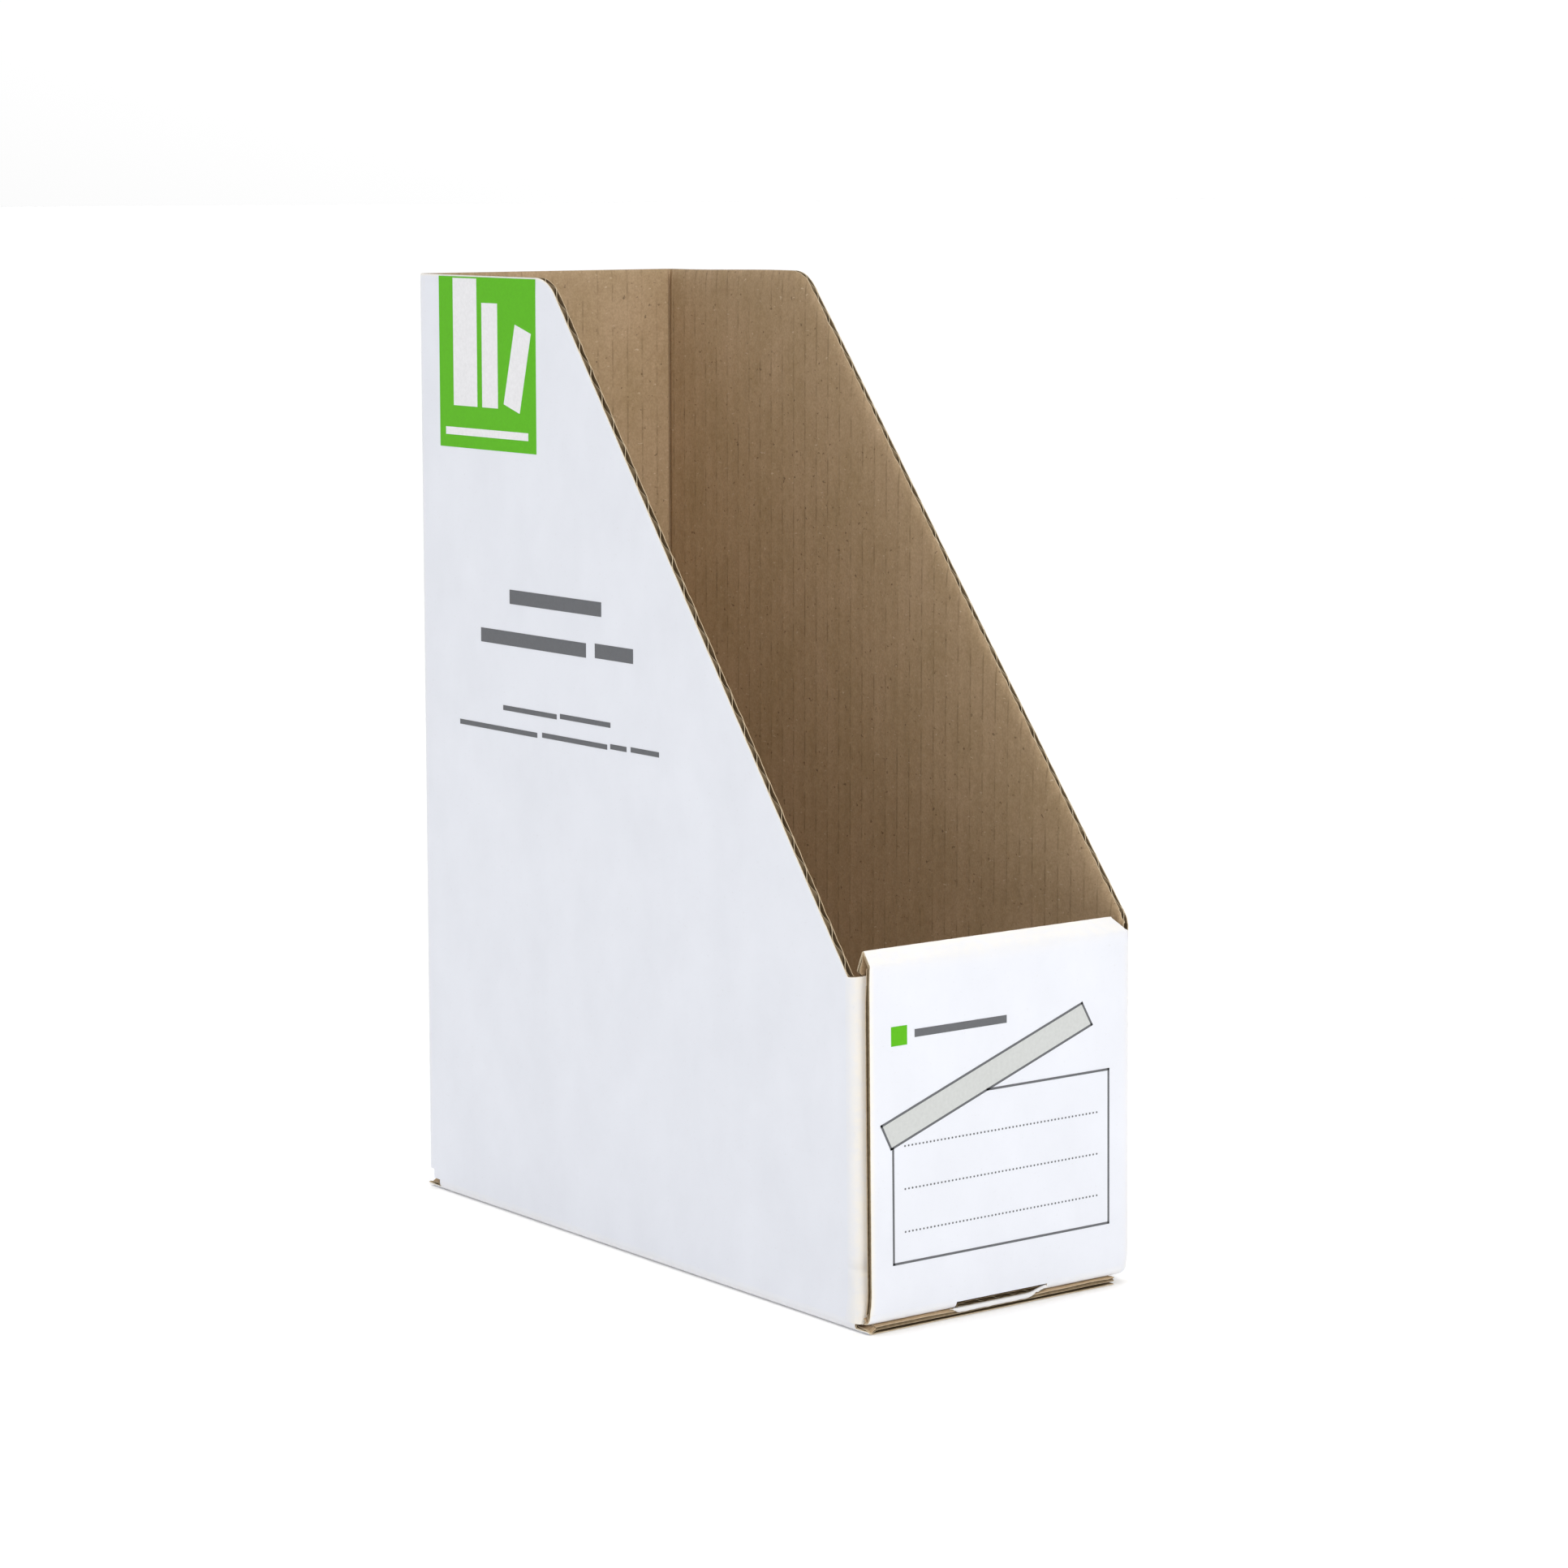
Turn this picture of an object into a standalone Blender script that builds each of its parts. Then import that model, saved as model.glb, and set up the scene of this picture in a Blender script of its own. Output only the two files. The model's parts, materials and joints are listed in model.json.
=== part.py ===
"""Magazine file holder, folded from one blank of white-lined B-flute corrugated board.

Frame: metres, +Z up. The low open front faces -Y and the tall back faces +Y. The origin is the
middle of the footprint, on the surface the holder stands on.

The board has three plies: a white outer liner, a corrugated medium and a brown inner liner. The
blank is divided by its creases into panels, and each ply of each panel is one object. Four walls
make a tube. Behind the front wall the rim strip and the inner panel are rolled over, and a tab
locks them in a slot of the bottom crease. The bottom is closed by three short flaps and by the
full floor panel, which lies under them and carries the holder.
"""
import math

import bmesh
import bpy
from mathutils import Matrix, Vector

# ---- driving dimensions (metres) -------------------------------------------------------------
WIDTH = 0.108                  # across the spine, outside
DEPTH = 0.250                  # front to back, outside
HEIGHT = 0.320                 # at the back
FLAT_TOP = 0.0775              # level part of the side walls' top, from the back
RIGHT_FRONT_HEIGHT = 0.116     # where the right wall's slanted edge meets the front
LEFT_FRONT_HEIGHT = 0.111      # where the left wall's slanted edge meets the glue flap's fold
TOP_ROUNDING = 0.010           # radius where the level top turns into the slanted edge

BOARD = 0.0030                 # thickness of the whole board
LINER = 0.0003                 # thickness of each liner
MEDIUM = 0.00025               # thickness of the corrugated medium
FLUTE_PITCH = 0.0064
PLY_GAP = 0.0001               # between plies that are glued together
JOINT_GAP = 0.0003             # between panels that meet at a crease
BEND = 0.0038                  # outer radius of a fold

FLOOR_END_GAP = 0.0057         # floor panel's free edge, in from the right wall's face
FLOOR_SIDE_INSET = 0.0003      # floor panel's raw edges, in from the front and back faces
FLAP_LEVEL = BOARD + 0.0002    # underside of the three short flaps
SHORT_FLAP = 0.032             # front and back flaps, in from the wall's face
SIDE_FLAP = 0.045              # right flap, in from the wall's face
MITRE_INSET = 0.001            # flap corners are cut at 45 degrees, this far inside the diagonal

GLUE_FLAP = 0.024              # width of the glue flap, from the left wall's face
GLUE_FLAP_BOARD = 0.0022       # its board is crushed where it is glued
GLUE_FLAP_FACE = BOARD + 0.0003
GLUE_FLAP_TOP = 0.1095
GLUE_FLAP_BOTTOM = FLAP_LEVEL + BOARD + 0.0005
GLUE_FOLD_BOTTOM = 0.0049      # the fold itself runs lower than the flap
GLUE_FILM = 0.0001
FRONT_RAW_EDGE = 0.0043        # front wall's raw left edge, in from the left wall's face

RIM_CREASE = 0.1145            # height of the crease at the top of the front wall
RIM_PEAK_DEPTH = 0.0044        # the rim strip leans in to its peak
RIM_PEAK_RISE = 0.0045
INNER_PANEL_HALF = 0.0504      # half width of the rolled-over inner panel
RIM_HALF = 0.0499              # half width of the rim strip on its right side
INNER_FACE = 0.0098            # inner panel's white face at its bottom, from the front face
INNER_BOTTOM = 0.0080
INNER_LEAN = 27.0              # degrees from straight down, where the panel leaves the peak
INNER_LEAN_RUN = 0.0115        # it leans for this long, then bows back to the front wall
INNER_BOW = 0.0018
INNER_UPPER_PULL = 0.014       # how far the lean and the bottom's direction carry into the bow
INNER_LOWER_PULL = 0.045

TAB_HALF = 0.0190
TAB_BOARD = 0.0017             # the tab is crushed as it is pushed through the slot
TAB_LEVEL = 0.0037             # underside of the tab
TAB_TIP = 0.0007               # tip of the tab, in from the front face: the lip swings past it
SLOT_HALF = 0.0203
SLOT_DEPTH = 0.0106            # the slot's cut in the front flap, in from the front face
LIP_HALF = 0.0199
LIP_OUT = 0.00085              # the pushed-out lip, proud of the front face
LIP_LOW = 0.0011               # its lower edge
LIP_BROW = 0.0002              # where the tongue turns down, in from the front face
LIP_ROUNDING = 0.0007          # its height below the flap's face once it stands proud

WHITE_FACE = (0.86, 0.87, 0.90, 1.0)
KRAFT_BROWN = (0.42, 0.27, 0.14, 1.0)
MEDIUM_BROWN = (0.36, 0.23, 0.12, 1.0)
GLUE_CREAM = (0.80, 0.74, 0.58, 1.0)

HALF_GAP = JOINT_GAP / 2
FOLD_TURN = math.radians(45)   # a 90 degree fold is divided between its two panels here


def clear_scene():
    for item in list(bpy.data.objects):
        bpy.data.objects.remove(item, do_unlink=True)


def paper(name, colour):
    """A matt paper surface."""
    material = bpy.data.materials.new(name)
    material.use_nodes = True
    shader = material.node_tree.nodes["Principled BSDF"]
    shader.inputs["Base Color"].default_value = colour
    shader.inputs["Roughness"].default_value = 0.75
    shader.inputs["Metallic"].default_value = 0.0
    material.diffuse_color = colour
    return material


# ---- where the walls and hinges stand --------------------------------------------------------
def wall_frame(outward_degrees, x, y):
    """A wall's own frame: X along the wall, Y into the holder from its outer face, Z up."""
    turn = Matrix.Rotation(math.radians(outward_degrees), 4, "Z")
    return Matrix.Translation((x, y, 0.0)) @ turn


MIDDLE = (LIP_OUT + LINER / 2) / 2     # the lip stands proud, so the walls' middle lies behind 0
FRONT = wall_frame(0, 0.0, MIDDLE - DEPTH / 2)
RIGHT = wall_frame(90, WIDTH / 2, MIDDLE)
BACK = wall_frame(180, 0.0, MIDDLE + DEPTH / 2)
LEFT = wall_frame(-90, -WIDTH / 2, MIDDLE)


def empty(name, location, parent=None):
    """An empty on a joint's axis, which carries the pieces that turn about it."""
    holder = bpy.data.objects.new(name, None)
    holder.empty_display_size = 0.01
    bpy.context.scene.collection.objects.link(holder)
    holder.location = location
    if parent is not None:
        holder.parent = parent
        holder.matrix_parent_inverse = Matrix.Translation(parent["axis_point"]).inverted()
    holder["axis_point"] = tuple(location)
    return holder


def fold_axis(frame, underside):
    """World point on a bottom fold's axis: the outermost line of the bend, in its middle."""
    inward = BEND * (1 - math.cos(FOLD_TURN))
    return frame @ Vector((0.0, inward, underside + inward))


# ---- sheets ----------------------------------------------------------------------------------
def grid_sheet(grid, keep):
    """A bmesh of quads over a grid of points, grid[column][row], leaving out cells not kept."""
    mesh = bmesh.new()
    vertices = [[mesh.verts.new(point) for point in column] for column in grid]
    for column in range(len(grid) - 1):
        for row in range(len(grid[0]) - 1):
            if keep(column, row):
                mesh.faces.new((
                    vertices[column][row],
                    vertices[column + 1][row],
                    vertices[column + 1][row + 1],
                    vertices[column][row + 1],
                ))
    loose = [vertex for vertex in mesh.verts if not vertex.link_faces]
    bmesh.ops.delete(mesh, geom=loose, context="VERTS")
    return mesh


def cut_away(mesh, point, normal):
    """Trim the sheet along a plane, dropping the side that the normal points to."""
    geometry = mesh.verts[:] + mesh.edges[:] + mesh.faces[:]
    bmesh.ops.bisect_plane(
        mesh, geom=geometry, dist=1e-7, plane_co=point, plane_no=normal, clear_outer=True
    )


def finish_ply(name, mesh, thickness, frame, holder, material):
    """Turn a sheet into an object that is thickened evenly to both sides."""
    data = bpy.data.meshes.new(name)
    mesh.to_mesh(data)
    mesh.free()
    data.materials.append(material)
    ply = bpy.data.objects.new(name, data)
    bpy.context.scene.collection.objects.link(ply)
    thicken = ply.modifiers.new("thickness", "SOLIDIFY")
    thicken.thickness = thickness
    thicken.offset = 0.0
    thicken.use_even_offset = True
    ply.matrix_world = frame
    ply.parent = holder
    ply.matrix_parent_inverse = Matrix.Translation(holder["axis_point"]).inverted()
    return ply


class Ply:
    """One layer of the board: its name, thickness, colour and how deep its middle lies."""

    def __init__(self, suffix, thickness, material, board):
        self.suffix = suffix
        self.thickness = thickness
        self.material = material
        self.board = board

    def insets(self):
        """Depths of the sheet's middle below the outer face, at a crest and at a trough."""
        edge = LINER + PLY_GAP + MEDIUM / 2
        return {
            "outer_liner": (LINER / 2, LINER / 2),
            "fluting": (edge, self.board - edge),
            "inner_liner": (self.board - LINER / 2, self.board - LINER / 2),
        }[self.suffix]

    def columns(self, stops):
        """(x, inset) of each column of the sheet, between the first stop and the last."""
        crest, trough = self.insets()
        if self.suffix != "fluting":
            return [(x, crest) for x in stops]
        start, end = stops[0], stops[-1]
        steps = round(abs(end - start) / (FLUTE_PITCH / 4))
        return [
            (start + (end - start) * step / steps, crest if step % 4 < 2 else trough)
            for step in range(steps + 1)
        ]


def three_plies(materials, board=BOARD):
    return (
        Ply("outer_liner", LINER, materials["white"], board),
        Ply("fluting", MEDIUM, materials["medium"], board),
        Ply("inner_liner", LINER, materials["kraft"], board),
    )


# ---- sections across the creases: lists of (depth, height) -------------------------------------
def around_fold(inset, turn, underside):
    """Point of a bottom fold: no turn is the wall's end, a quarter turn is the flap's start."""
    radius = BEND - inset
    return (
        BEND - radius * math.cos(turn),
        underside + BEND - radius * math.sin(turn),
    )


def gap_turn(inset):
    """Angle that half of the joint gap takes up at this depth of the bend."""
    return math.asin(HALF_GAP / (BEND - inset))


def wall_section(inset, underside, top):
    """A wall from its half of the bottom fold to its top."""
    start = FOLD_TURN - gap_turn(inset)
    fold = [around_fold(inset, start * part, underside) for part in (1.0, 0.5, 0.0)]
    return fold + [(inset, top)]


def flap_section(inset, underside, stops):
    """A bottom flap from its half of the fold inwards, through the given depths."""
    start = FOLD_TURN + gap_turn(inset)
    rest = math.radians(90) - start
    fold = [around_fold(inset, start + rest * part, underside) for part in (0.0, 0.5, 1.0)]
    return fold + [(depth, underside + inset) for depth in stops]


def round_corner(x, inset, corner, side):
    """Wrap a column past the corner around the upright fold there."""
    turn = side * (x - corner) / BEND
    if turn <= 0:
        return x, None
    radius = BEND - inset
    return corner + side * radius * math.sin(turn), BEND - radius * math.cos(turn)


CORNER_STEPS = tuple(BEND * math.radians(angle) for angle in (30, 60, 90))


# ---- panels ----------------------------------------------------------------------------------
def side_wall(name, frame, holder, materials, underside, ends, cuts):
    """Left or right wall: level at the back, slanted down to the front by one straight cut."""
    for ply in three_plies(materials):
        def section(inset):
            rows = wall_section(inset, underside, HEIGHT)
            return rows[2:] if ply.suffix == "fluting" else rows

        grid = [
            [(x, depth, height) for depth, height in section(inset)]
            for x, inset in ply.columns(ends)
        ]
        mesh = grid_sheet(grid, lambda column, row: True)
        for point, normal in cuts:
            cut_away(mesh, point, normal)
        finish_ply(f"{name}_{ply.suffix}", mesh, ply.thickness, frame, holder, ply.material)


def slanted_edge(front_x, front_height, back_x):
    """Planes that cut a side wall's slanted edge and round its upper end."""
    up = Vector((0.0, 0.0, 1.0))
    rise = Vector((back_x - front_x, 0.0, HEIGHT - front_height)).normalized()
    outward = Vector((-rise.z, 0.0, rise.x)) if rise.x > 0 else Vector((rise.z, 0.0, -rise.x))
    end = Vector((back_x, 0.0, HEIGHT))
    turn = up.angle(outward)
    side = Vector((math.copysign(1.0, rise.x), 0.0, 0.0))
    centre = end + side * TOP_ROUNDING * math.tan(turn / 2) - up * TOP_ROUNDING
    cuts = [(end, outward)]
    for part in (0.25, 0.5, 0.75):
        normal = (up * math.cos(turn * part) - side * math.sin(turn * part)).normalized()
        cuts.append((centre + normal * TOP_ROUNDING, normal))
    return cuts


def left_wall(holder, materials):
    front_end = DEPTH / 2 - GLUE_FLAP_FACE - BEND
    back_end = -(DEPTH / 2 - BEND)
    cuts = slanted_edge(DEPTH / 2 - GLUE_FLAP_FACE, LEFT_FRONT_HEIGHT, -(DEPTH / 2 - FLAT_TOP))
    ends = (back_end + JOINT_GAP, front_end - JOINT_GAP)
    side_wall("left_wall", LEFT, holder, materials, 0.0, ends, cuts)


def right_wall(holder, materials):
    reach = DEPTH / 2 - BEND - JOINT_GAP
    cuts = slanted_edge(-DEPTH / 2, RIGHT_FRONT_HEIGHT, DEPTH / 2 - FLAT_TOP)
    side_wall("right_wall", RIGHT, holder, materials, FLAP_LEVEL, (-reach, reach), cuts)


def back_wall(holder, materials):
    """Back wall with the upright folds at both of its sides."""
    corner = WIDTH / 2 - BEND
    for ply in three_plies(materials):
        fluted = ply.suffix == "fluting"
        stops = [-corner, corner]
        if not fluted:
            stops = (
                [-corner - step for step in reversed(CORNER_STEPS)]
                + stops
                + [corner + step for step in CORNER_STEPS]
            )
        grid = []
        for x, inset in ply.columns(stops):
            rows = wall_section(inset, FLAP_LEVEL, HEIGHT)
            side = 1 if x > 0 else -1
            place, wrapped = round_corner(x, inset, side * corner, side)
            grid.append([
                (place, depth if wrapped is None else wrapped, height)
                for depth, height in (rows[2:] if fluted else rows)
            ])
        beside_fold = (len(CORNER_STEPS) - 1, len(stops) - len(CORNER_STEPS) - 1)

        def keep(column, row):
            return fluted or row > 1 or column not in beside_fold

        mesh = grid_sheet(grid, keep)
        finish_ply(f"back_wall_{ply.suffix}", mesh, ply.thickness, BACK, holder, ply.material)


RIM_LENGTH = math.hypot(RIM_PEAK_DEPTH, RIM_PEAK_RISE)
RIM_LEAN = math.atan2(RIM_PEAK_DEPTH, RIM_PEAK_RISE)
PEAK_TURN = math.pi - math.radians(INNER_LEAN) - RIM_LEAN
PEAK_HEIGHT = RIM_CREASE + RIM_PEAK_RISE


def mitre_setback(deepest, turn):
    """How far a ply stays back from a crease line, where two panels meet at a slant."""
    return HALF_GAP + deepest * math.tan(turn / 2)


def front_wall(holder, materials):
    """Front wall: raw edge on the left, upright fold on the right, slot in its bottom fold."""
    corner = WIDTH / 2 - BEND
    left = -WIDTH / 2 + FRONT_RAW_EDGE
    above_rim = RIGHT_FRONT_HEIGHT + 2 * BEND
    slope = (HEIGHT - RIGHT_FRONT_HEIGHT) / (DEPTH - FLAT_TOP)
    for ply in three_plies(materials):
        fluted = ply.suffix == "fluting"
        stops = [left, corner]
        if not fluted:
            stops = [left, -SLOT_HALF, SLOT_HALF, corner] + [corner + step for step in CORNER_STEPS]
        grid = []
        for x, inset in ply.columns(stops):
            top = RIM_CREASE - mitre_setback(inset + ply.thickness / 2, RIM_LEAN)
            rows = wall_section(inset, FLAP_LEVEL, top)
            rows = rows[2:] if fluted else rows + [(inset, above_rim)]
            place, wrapped = round_corner(x, inset, corner, 1)
            grid.append([
                (place, depth if wrapped is None else wrapped, height) for depth, height in rows
            ])

        def keep(column, row):
            if fluted:
                return True
            if column == 1 and row == 0:      # the slot
                return False
            if column == 3 and row < 2:       # relief between the bottom fold and the corner
                return False
            return row < 3 or column > 2      # only the corner rises above the rim's crease

        mesh = grid_sheet(grid, keep)
        if not fluted:
            cut_away(mesh, (0.0, 0.0, RIGHT_FRONT_HEIGHT), (0.0, -slope, 1.0))
        name = f"front_wall_{ply.suffix}"
        finish_ply(name, mesh, ply.thickness, FRONT, holder, ply.material)


def glue_flap(holder, materials):
    """Flap folded in from the left wall, glued behind the front wall's raw edge."""
    corner = -(WIDTH / 2 - BEND)
    free_edge = -WIDTH / 2 + GLUE_FLAP
    levels = (GLUE_FOLD_BOTTOM, GLUE_FLAP_BOTTOM, GLUE_FLAP_TOP, LEFT_FRONT_HEIGHT)
    for ply in three_plies(materials, GLUE_FLAP_BOARD):
        fluted = ply.suffix == "fluting"
        folded = [corner - step for step in reversed(CORNER_STEPS)]
        stops = [corner, free_edge] if fluted else folded + [corner, free_edge]
        grid = []
        for x, inset in ply.columns(stops):
            place, wrapped = round_corner(x, inset, corner, -1)
            depth = GLUE_FLAP_FACE + (inset if wrapped is None else wrapped)
            grid.append([(place, depth, height) for height in (levels[1:3] if fluted else levels)])

        def keep(column, row):
            return fluted or row == 1 or column < len(CORNER_STEPS)

        mesh = grid_sheet(grid, keep)
        name = f"glue_flap_{ply.suffix}"
        finish_ply(name, mesh, ply.thickness, FRONT, holder, ply.material)


def glue_seam(holder, materials):
    """Film of dried glue between the glue flap and the front wall."""
    left = -WIDTH / 2 + FRONT_RAW_EDGE + BOARD
    right = -WIDTH / 2 + GLUE_FLAP - BOARD
    depth = (BOARD + GLUE_FLAP_FACE) / 2
    levels = (GLUE_FLAP_BOTTOM + BOARD, GLUE_FLAP_TOP - BOARD)
    grid = [[(x, depth, height) for height in levels] for x in (left, right)]
    mesh = grid_sheet(grid, lambda column, row: True)
    finish_ply("glue_seam", mesh, GLUE_FILM, FRONT, holder, materials["glue"])


def rim_strip(holder, materials):
    """Narrow strip that leans in from the front wall's crease up to the peak of the rim."""
    along = Vector((RIM_PEAK_DEPTH, RIM_PEAK_RISE)).normalized()
    inward = Vector((along.y, -along.x))
    left = -WIDTH / 2 + FRONT_RAW_EDGE
    for ply in three_plies(materials):
        grid = []
        for x, inset in ply.columns((left, RIM_HALF)):
            deepest = inset + ply.thickness / 2
            start = mitre_setback(deepest, RIM_LEAN)
            end = RIM_LENGTH - mitre_setback(deepest, PEAK_TURN)
            points = [along * run + inward * inset for run in (start, end)]
            grid.append([(x, point.x, RIM_CREASE + point.y) for point in points])
        mesh = grid_sheet(grid, lambda column, row: True)
        name = f"rim_strip_{ply.suffix}"
        finish_ply(name, mesh, ply.thickness, FRONT, holder, ply.material)


def inner_bow(part):
    """The inner panel's white face below its lean, from top (0) to bottom (1): point, direction."""
    lean = math.radians(INNER_LEAN)
    leaving = Vector((math.sin(lean), -math.cos(lean)))
    top = Vector((RIM_PEAK_DEPTH, PEAK_HEIGHT)) + leaving * INNER_LEAN_RUN
    bottom = Vector((INNER_FACE, INNER_BOTTOM))
    points = (
        top,
        top + leaving * INNER_UPPER_PULL,
        bottom + Vector((INNER_BOW, INNER_LOWER_PULL)),
        bottom,
    )
    rest = 1 - part
    weights = (rest ** 3, 3 * rest ** 2 * part, 3 * rest * part ** 2, part ** 3)
    slopes = (3 * rest ** 2, 6 * rest * part, 3 * part ** 2)
    point = sum((w * p for w, p in zip(weights, points)), Vector((0.0, 0.0)))
    direction = sum(
        (s * (points[i + 1] - points[i]) for i, s in enumerate(slopes)), Vector((0.0, 0.0))
    )
    return point, direction.normalized()


def inner_section(inset, thickness):
    """The bowed inner panel, mitred where it meets the rim strip at the peak."""
    peak = Vector((RIM_PEAK_DEPTH, PEAK_HEIGHT))
    leaving = inner_bow(0.0)[1]
    kraft_side = Vector((leaving.y, -leaving.x))
    setback = mitre_setback(inset + thickness / 2, PEAK_TURN)
    start = peak + leaving * setback + kraft_side * inset
    rows = [(start.x, start.y)]
    for part in (0.0, 0.25, 0.55, 1.0):
        point, direction = inner_bow(part)
        point = point + Vector((direction.y, -direction.x)) * inset
        rows.append((point.x, point.y))
    return rows


def inner_panel(holder, materials):
    """Panel rolled over the rim, which hangs behind the front wall and the glue flap."""
    left = -WIDTH / 2 + FRONT_RAW_EDGE
    for ply in three_plies(materials):
        grid = [
            [(x, depth, height) for depth, height in inner_section(inset, ply.thickness)]
            for x, inset in ply.columns((left, INNER_PANEL_HALF))
        ]
        mesh = grid_sheet(grid, lambda column, row: True)
        name = f"inner_panel_{ply.suffix}"
        finish_ply(name, mesh, ply.thickness, FRONT, holder, ply.material)


def lock_tab(holder, materials):
    """Tab at the inner panel's lower edge, bent forward through the slot in the bottom fold."""
    bend = INNER_BOTTOM - JOINT_GAP - TAB_LEVEL
    middle = INNER_FACE - bend
    for ply in three_plies(materials, TAB_BOARD):
        grid = []
        for x, inset in ply.columns((-TAB_HALF, TAB_HALF)):
            radius = bend - inset
            turns = [math.radians(angle) for angle in (0, 30, 60, 90)]
            rows = [
                (middle + radius * math.cos(turn), TAB_LEVEL + bend - radius * math.sin(turn))
                for turn in (turns[3:] if ply.suffix == "fluting" else turns)
            ]
            rows.append((TAB_TIP, TAB_LEVEL + inset))
            grid.append([(x, depth, height) for depth, height in rows])
        mesh = grid_sheet(grid, lambda column, row: True)
        name = f"lock_tab_{ply.suffix}"
        finish_ply(name, mesh, ply.thickness, FRONT, holder, ply.material)


def floor_panel(holder, materials):
    """Full bottom panel, hinged to the left wall and lying under the three short flaps."""
    reach = DEPTH / 2 - FLOOR_SIDE_INSET
    end = WIDTH - FLOOR_END_GAP
    for ply in three_plies(materials):
        grid = []
        for x, inset in ply.columns((-reach, reach)):
            rows = flap_section(inset, 0.0, [end])
            rows = rows[2:] if ply.suffix == "fluting" else rows
            grid.append([(x, depth, height) for depth, height in rows])
        mesh = grid_sheet(grid, lambda column, row: True)
        name = f"floor_panel_{ply.suffix}"
        finish_ply(name, mesh, ply.thickness, LEFT, holder, ply.material)


def mitre(mesh, half_length):
    """Cut both corners of a flap at 45 degrees, so that neighbouring flaps never meet."""
    for side in (-1, 1):
        cut_away(mesh, (side * (half_length - MITRE_INSET), 0.0, 0.0), (side, 1.0, 0.0))


def plain_flap(name, frame, holder, materials, half_length, length):
    """Short bottom flap of the back or the right wall."""
    reach = half_length - BEND - JOINT_GAP
    for ply in three_plies(materials):
        grid = []
        for x, inset in ply.columns((-reach, reach)):
            rows = flap_section(inset, FLAP_LEVEL, [length])
            rows = rows[2:] if ply.suffix == "fluting" else rows
            grid.append([(x, depth, height) for depth, height in rows])
        mesh = grid_sheet(grid, lambda column, row: True)
        mitre(mesh, half_length)
        finish_ply(f"{name}_{ply.suffix}", mesh, ply.thickness, frame, holder, ply.material)


def push_out_lip(mesh):
    """Lay the slot's tongue forward under the tab and over the floor panel's raw edge."""
    root = [
        edge for edge in mesh.edges
        if all(abs(v.co.y - SLOT_DEPTH) < 1e-6 and abs(v.co.x) < LIP_HALF + 1e-6
               for v in edge.verts)
    ]
    level = FLAP_LEVEL + LINER / 2
    path = (
        (LIP_BROW, level),
        (-LIP_OUT, level - LIP_ROUNDING),
        (-LIP_OUT, LIP_LOW),
    )
    for depth, height in path:
        grown = bmesh.ops.extrude_edge_only(mesh, edges=root)["geom"]
        for item in grown:
            if isinstance(item, bmesh.types.BMVert):
                item.co.y = depth
                item.co.z = height
        root = [item for item in grown if isinstance(item, bmesh.types.BMEdge)]
    bmesh.ops.recalc_face_normals(mesh, faces=mesh.faces)


def front_flap(holder, materials):
    """Short bottom flap of the front wall, slotted at its fold for the lock tab."""
    half = WIDTH / 2
    left = -half + FRONT_RAW_EDGE + JOINT_GAP
    right = half - BEND - JOINT_GAP
    for ply in three_plies(materials):
        fluted = ply.suffix == "fluting"
        stops = [left, -SLOT_HALF, -LIP_HALF, LIP_HALF, SLOT_HALF, right]
        grid = []
        columns = ply.columns([left, right] if fluted else stops)
        for x, inset in columns:
            rows = flap_section(inset, FLAP_LEVEL, [SLOT_DEPTH, SHORT_FLAP])
            grid.append([
                (x, depth, height) for depth, height in (rows[2:] if fluted else rows)
            ])

        def keep(column, row):
            middle = abs(columns[column][0] + columns[column + 1][0]) / 2
            return row == len(grid[0]) - 2 or middle > SLOT_HALF

        mesh = grid_sheet(grid, keep)
        mitre(mesh, half)
        if ply.suffix == "outer_liner":
            push_out_lip(mesh)
        name = f"front_flap_{ply.suffix}"
        finish_ply(name, mesh, ply.thickness, FRONT, holder, ply.material)


# ---- assembly --------------------------------------------------------------------------------
def main():
    clear_scene()
    materials = {
        "white": paper("white_outer_liner", WHITE_FACE),
        "kraft": paper("brown_inner_liner", KRAFT_BROWN),
        "medium": paper("brown_medium", MEDIUM_BROWN),
        "glue": paper("dried_glue", GLUE_CREAM),
    }

    tube = empty("tube_middle", (0.0, 0.0, 0.0))
    left_wall(tube, materials)
    back_wall(tube, materials)
    right_wall(tube, materials)
    front_wall(tube, materials)
    glue_flap(tube, materials)
    glue_seam(tube, materials)

    rim_hinge = empty("rim_hinge", FRONT @ Vector((0.0, 0.0, RIM_CREASE)), tube)
    peak = Vector((0.0, RIM_PEAK_DEPTH, PEAK_HEIGHT))
    peak_hinge = empty("peak_hinge", FRONT @ peak, rim_hinge)
    rim_strip(rim_hinge, materials)
    inner_panel(peak_hinge, materials)
    lock_tab(peak_hinge, materials)

    floor_hinge = empty("floor_hinge", fold_axis(LEFT, 0.0), tube)
    front_hinge = empty("front_flap_hinge", fold_axis(FRONT, FLAP_LEVEL), tube)
    back_hinge = empty("back_flap_hinge", fold_axis(BACK, FLAP_LEVEL), tube)
    right_hinge = empty("right_flap_hinge", fold_axis(RIGHT, FLAP_LEVEL), tube)
    floor_panel(floor_hinge, materials)
    front_flap(front_hinge, materials)
    plain_flap("back_flap", BACK, back_hinge, materials, WIDTH / 2, SHORT_FLAP)
    plain_flap("right_flap", RIGHT, right_hinge, materials, DEPTH / 2, SIDE_FLAP)


main()
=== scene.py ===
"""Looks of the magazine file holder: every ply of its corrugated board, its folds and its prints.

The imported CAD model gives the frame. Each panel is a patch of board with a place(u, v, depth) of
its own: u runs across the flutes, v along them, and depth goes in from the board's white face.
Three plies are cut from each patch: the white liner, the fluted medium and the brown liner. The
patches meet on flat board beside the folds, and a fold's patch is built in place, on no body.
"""

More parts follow.
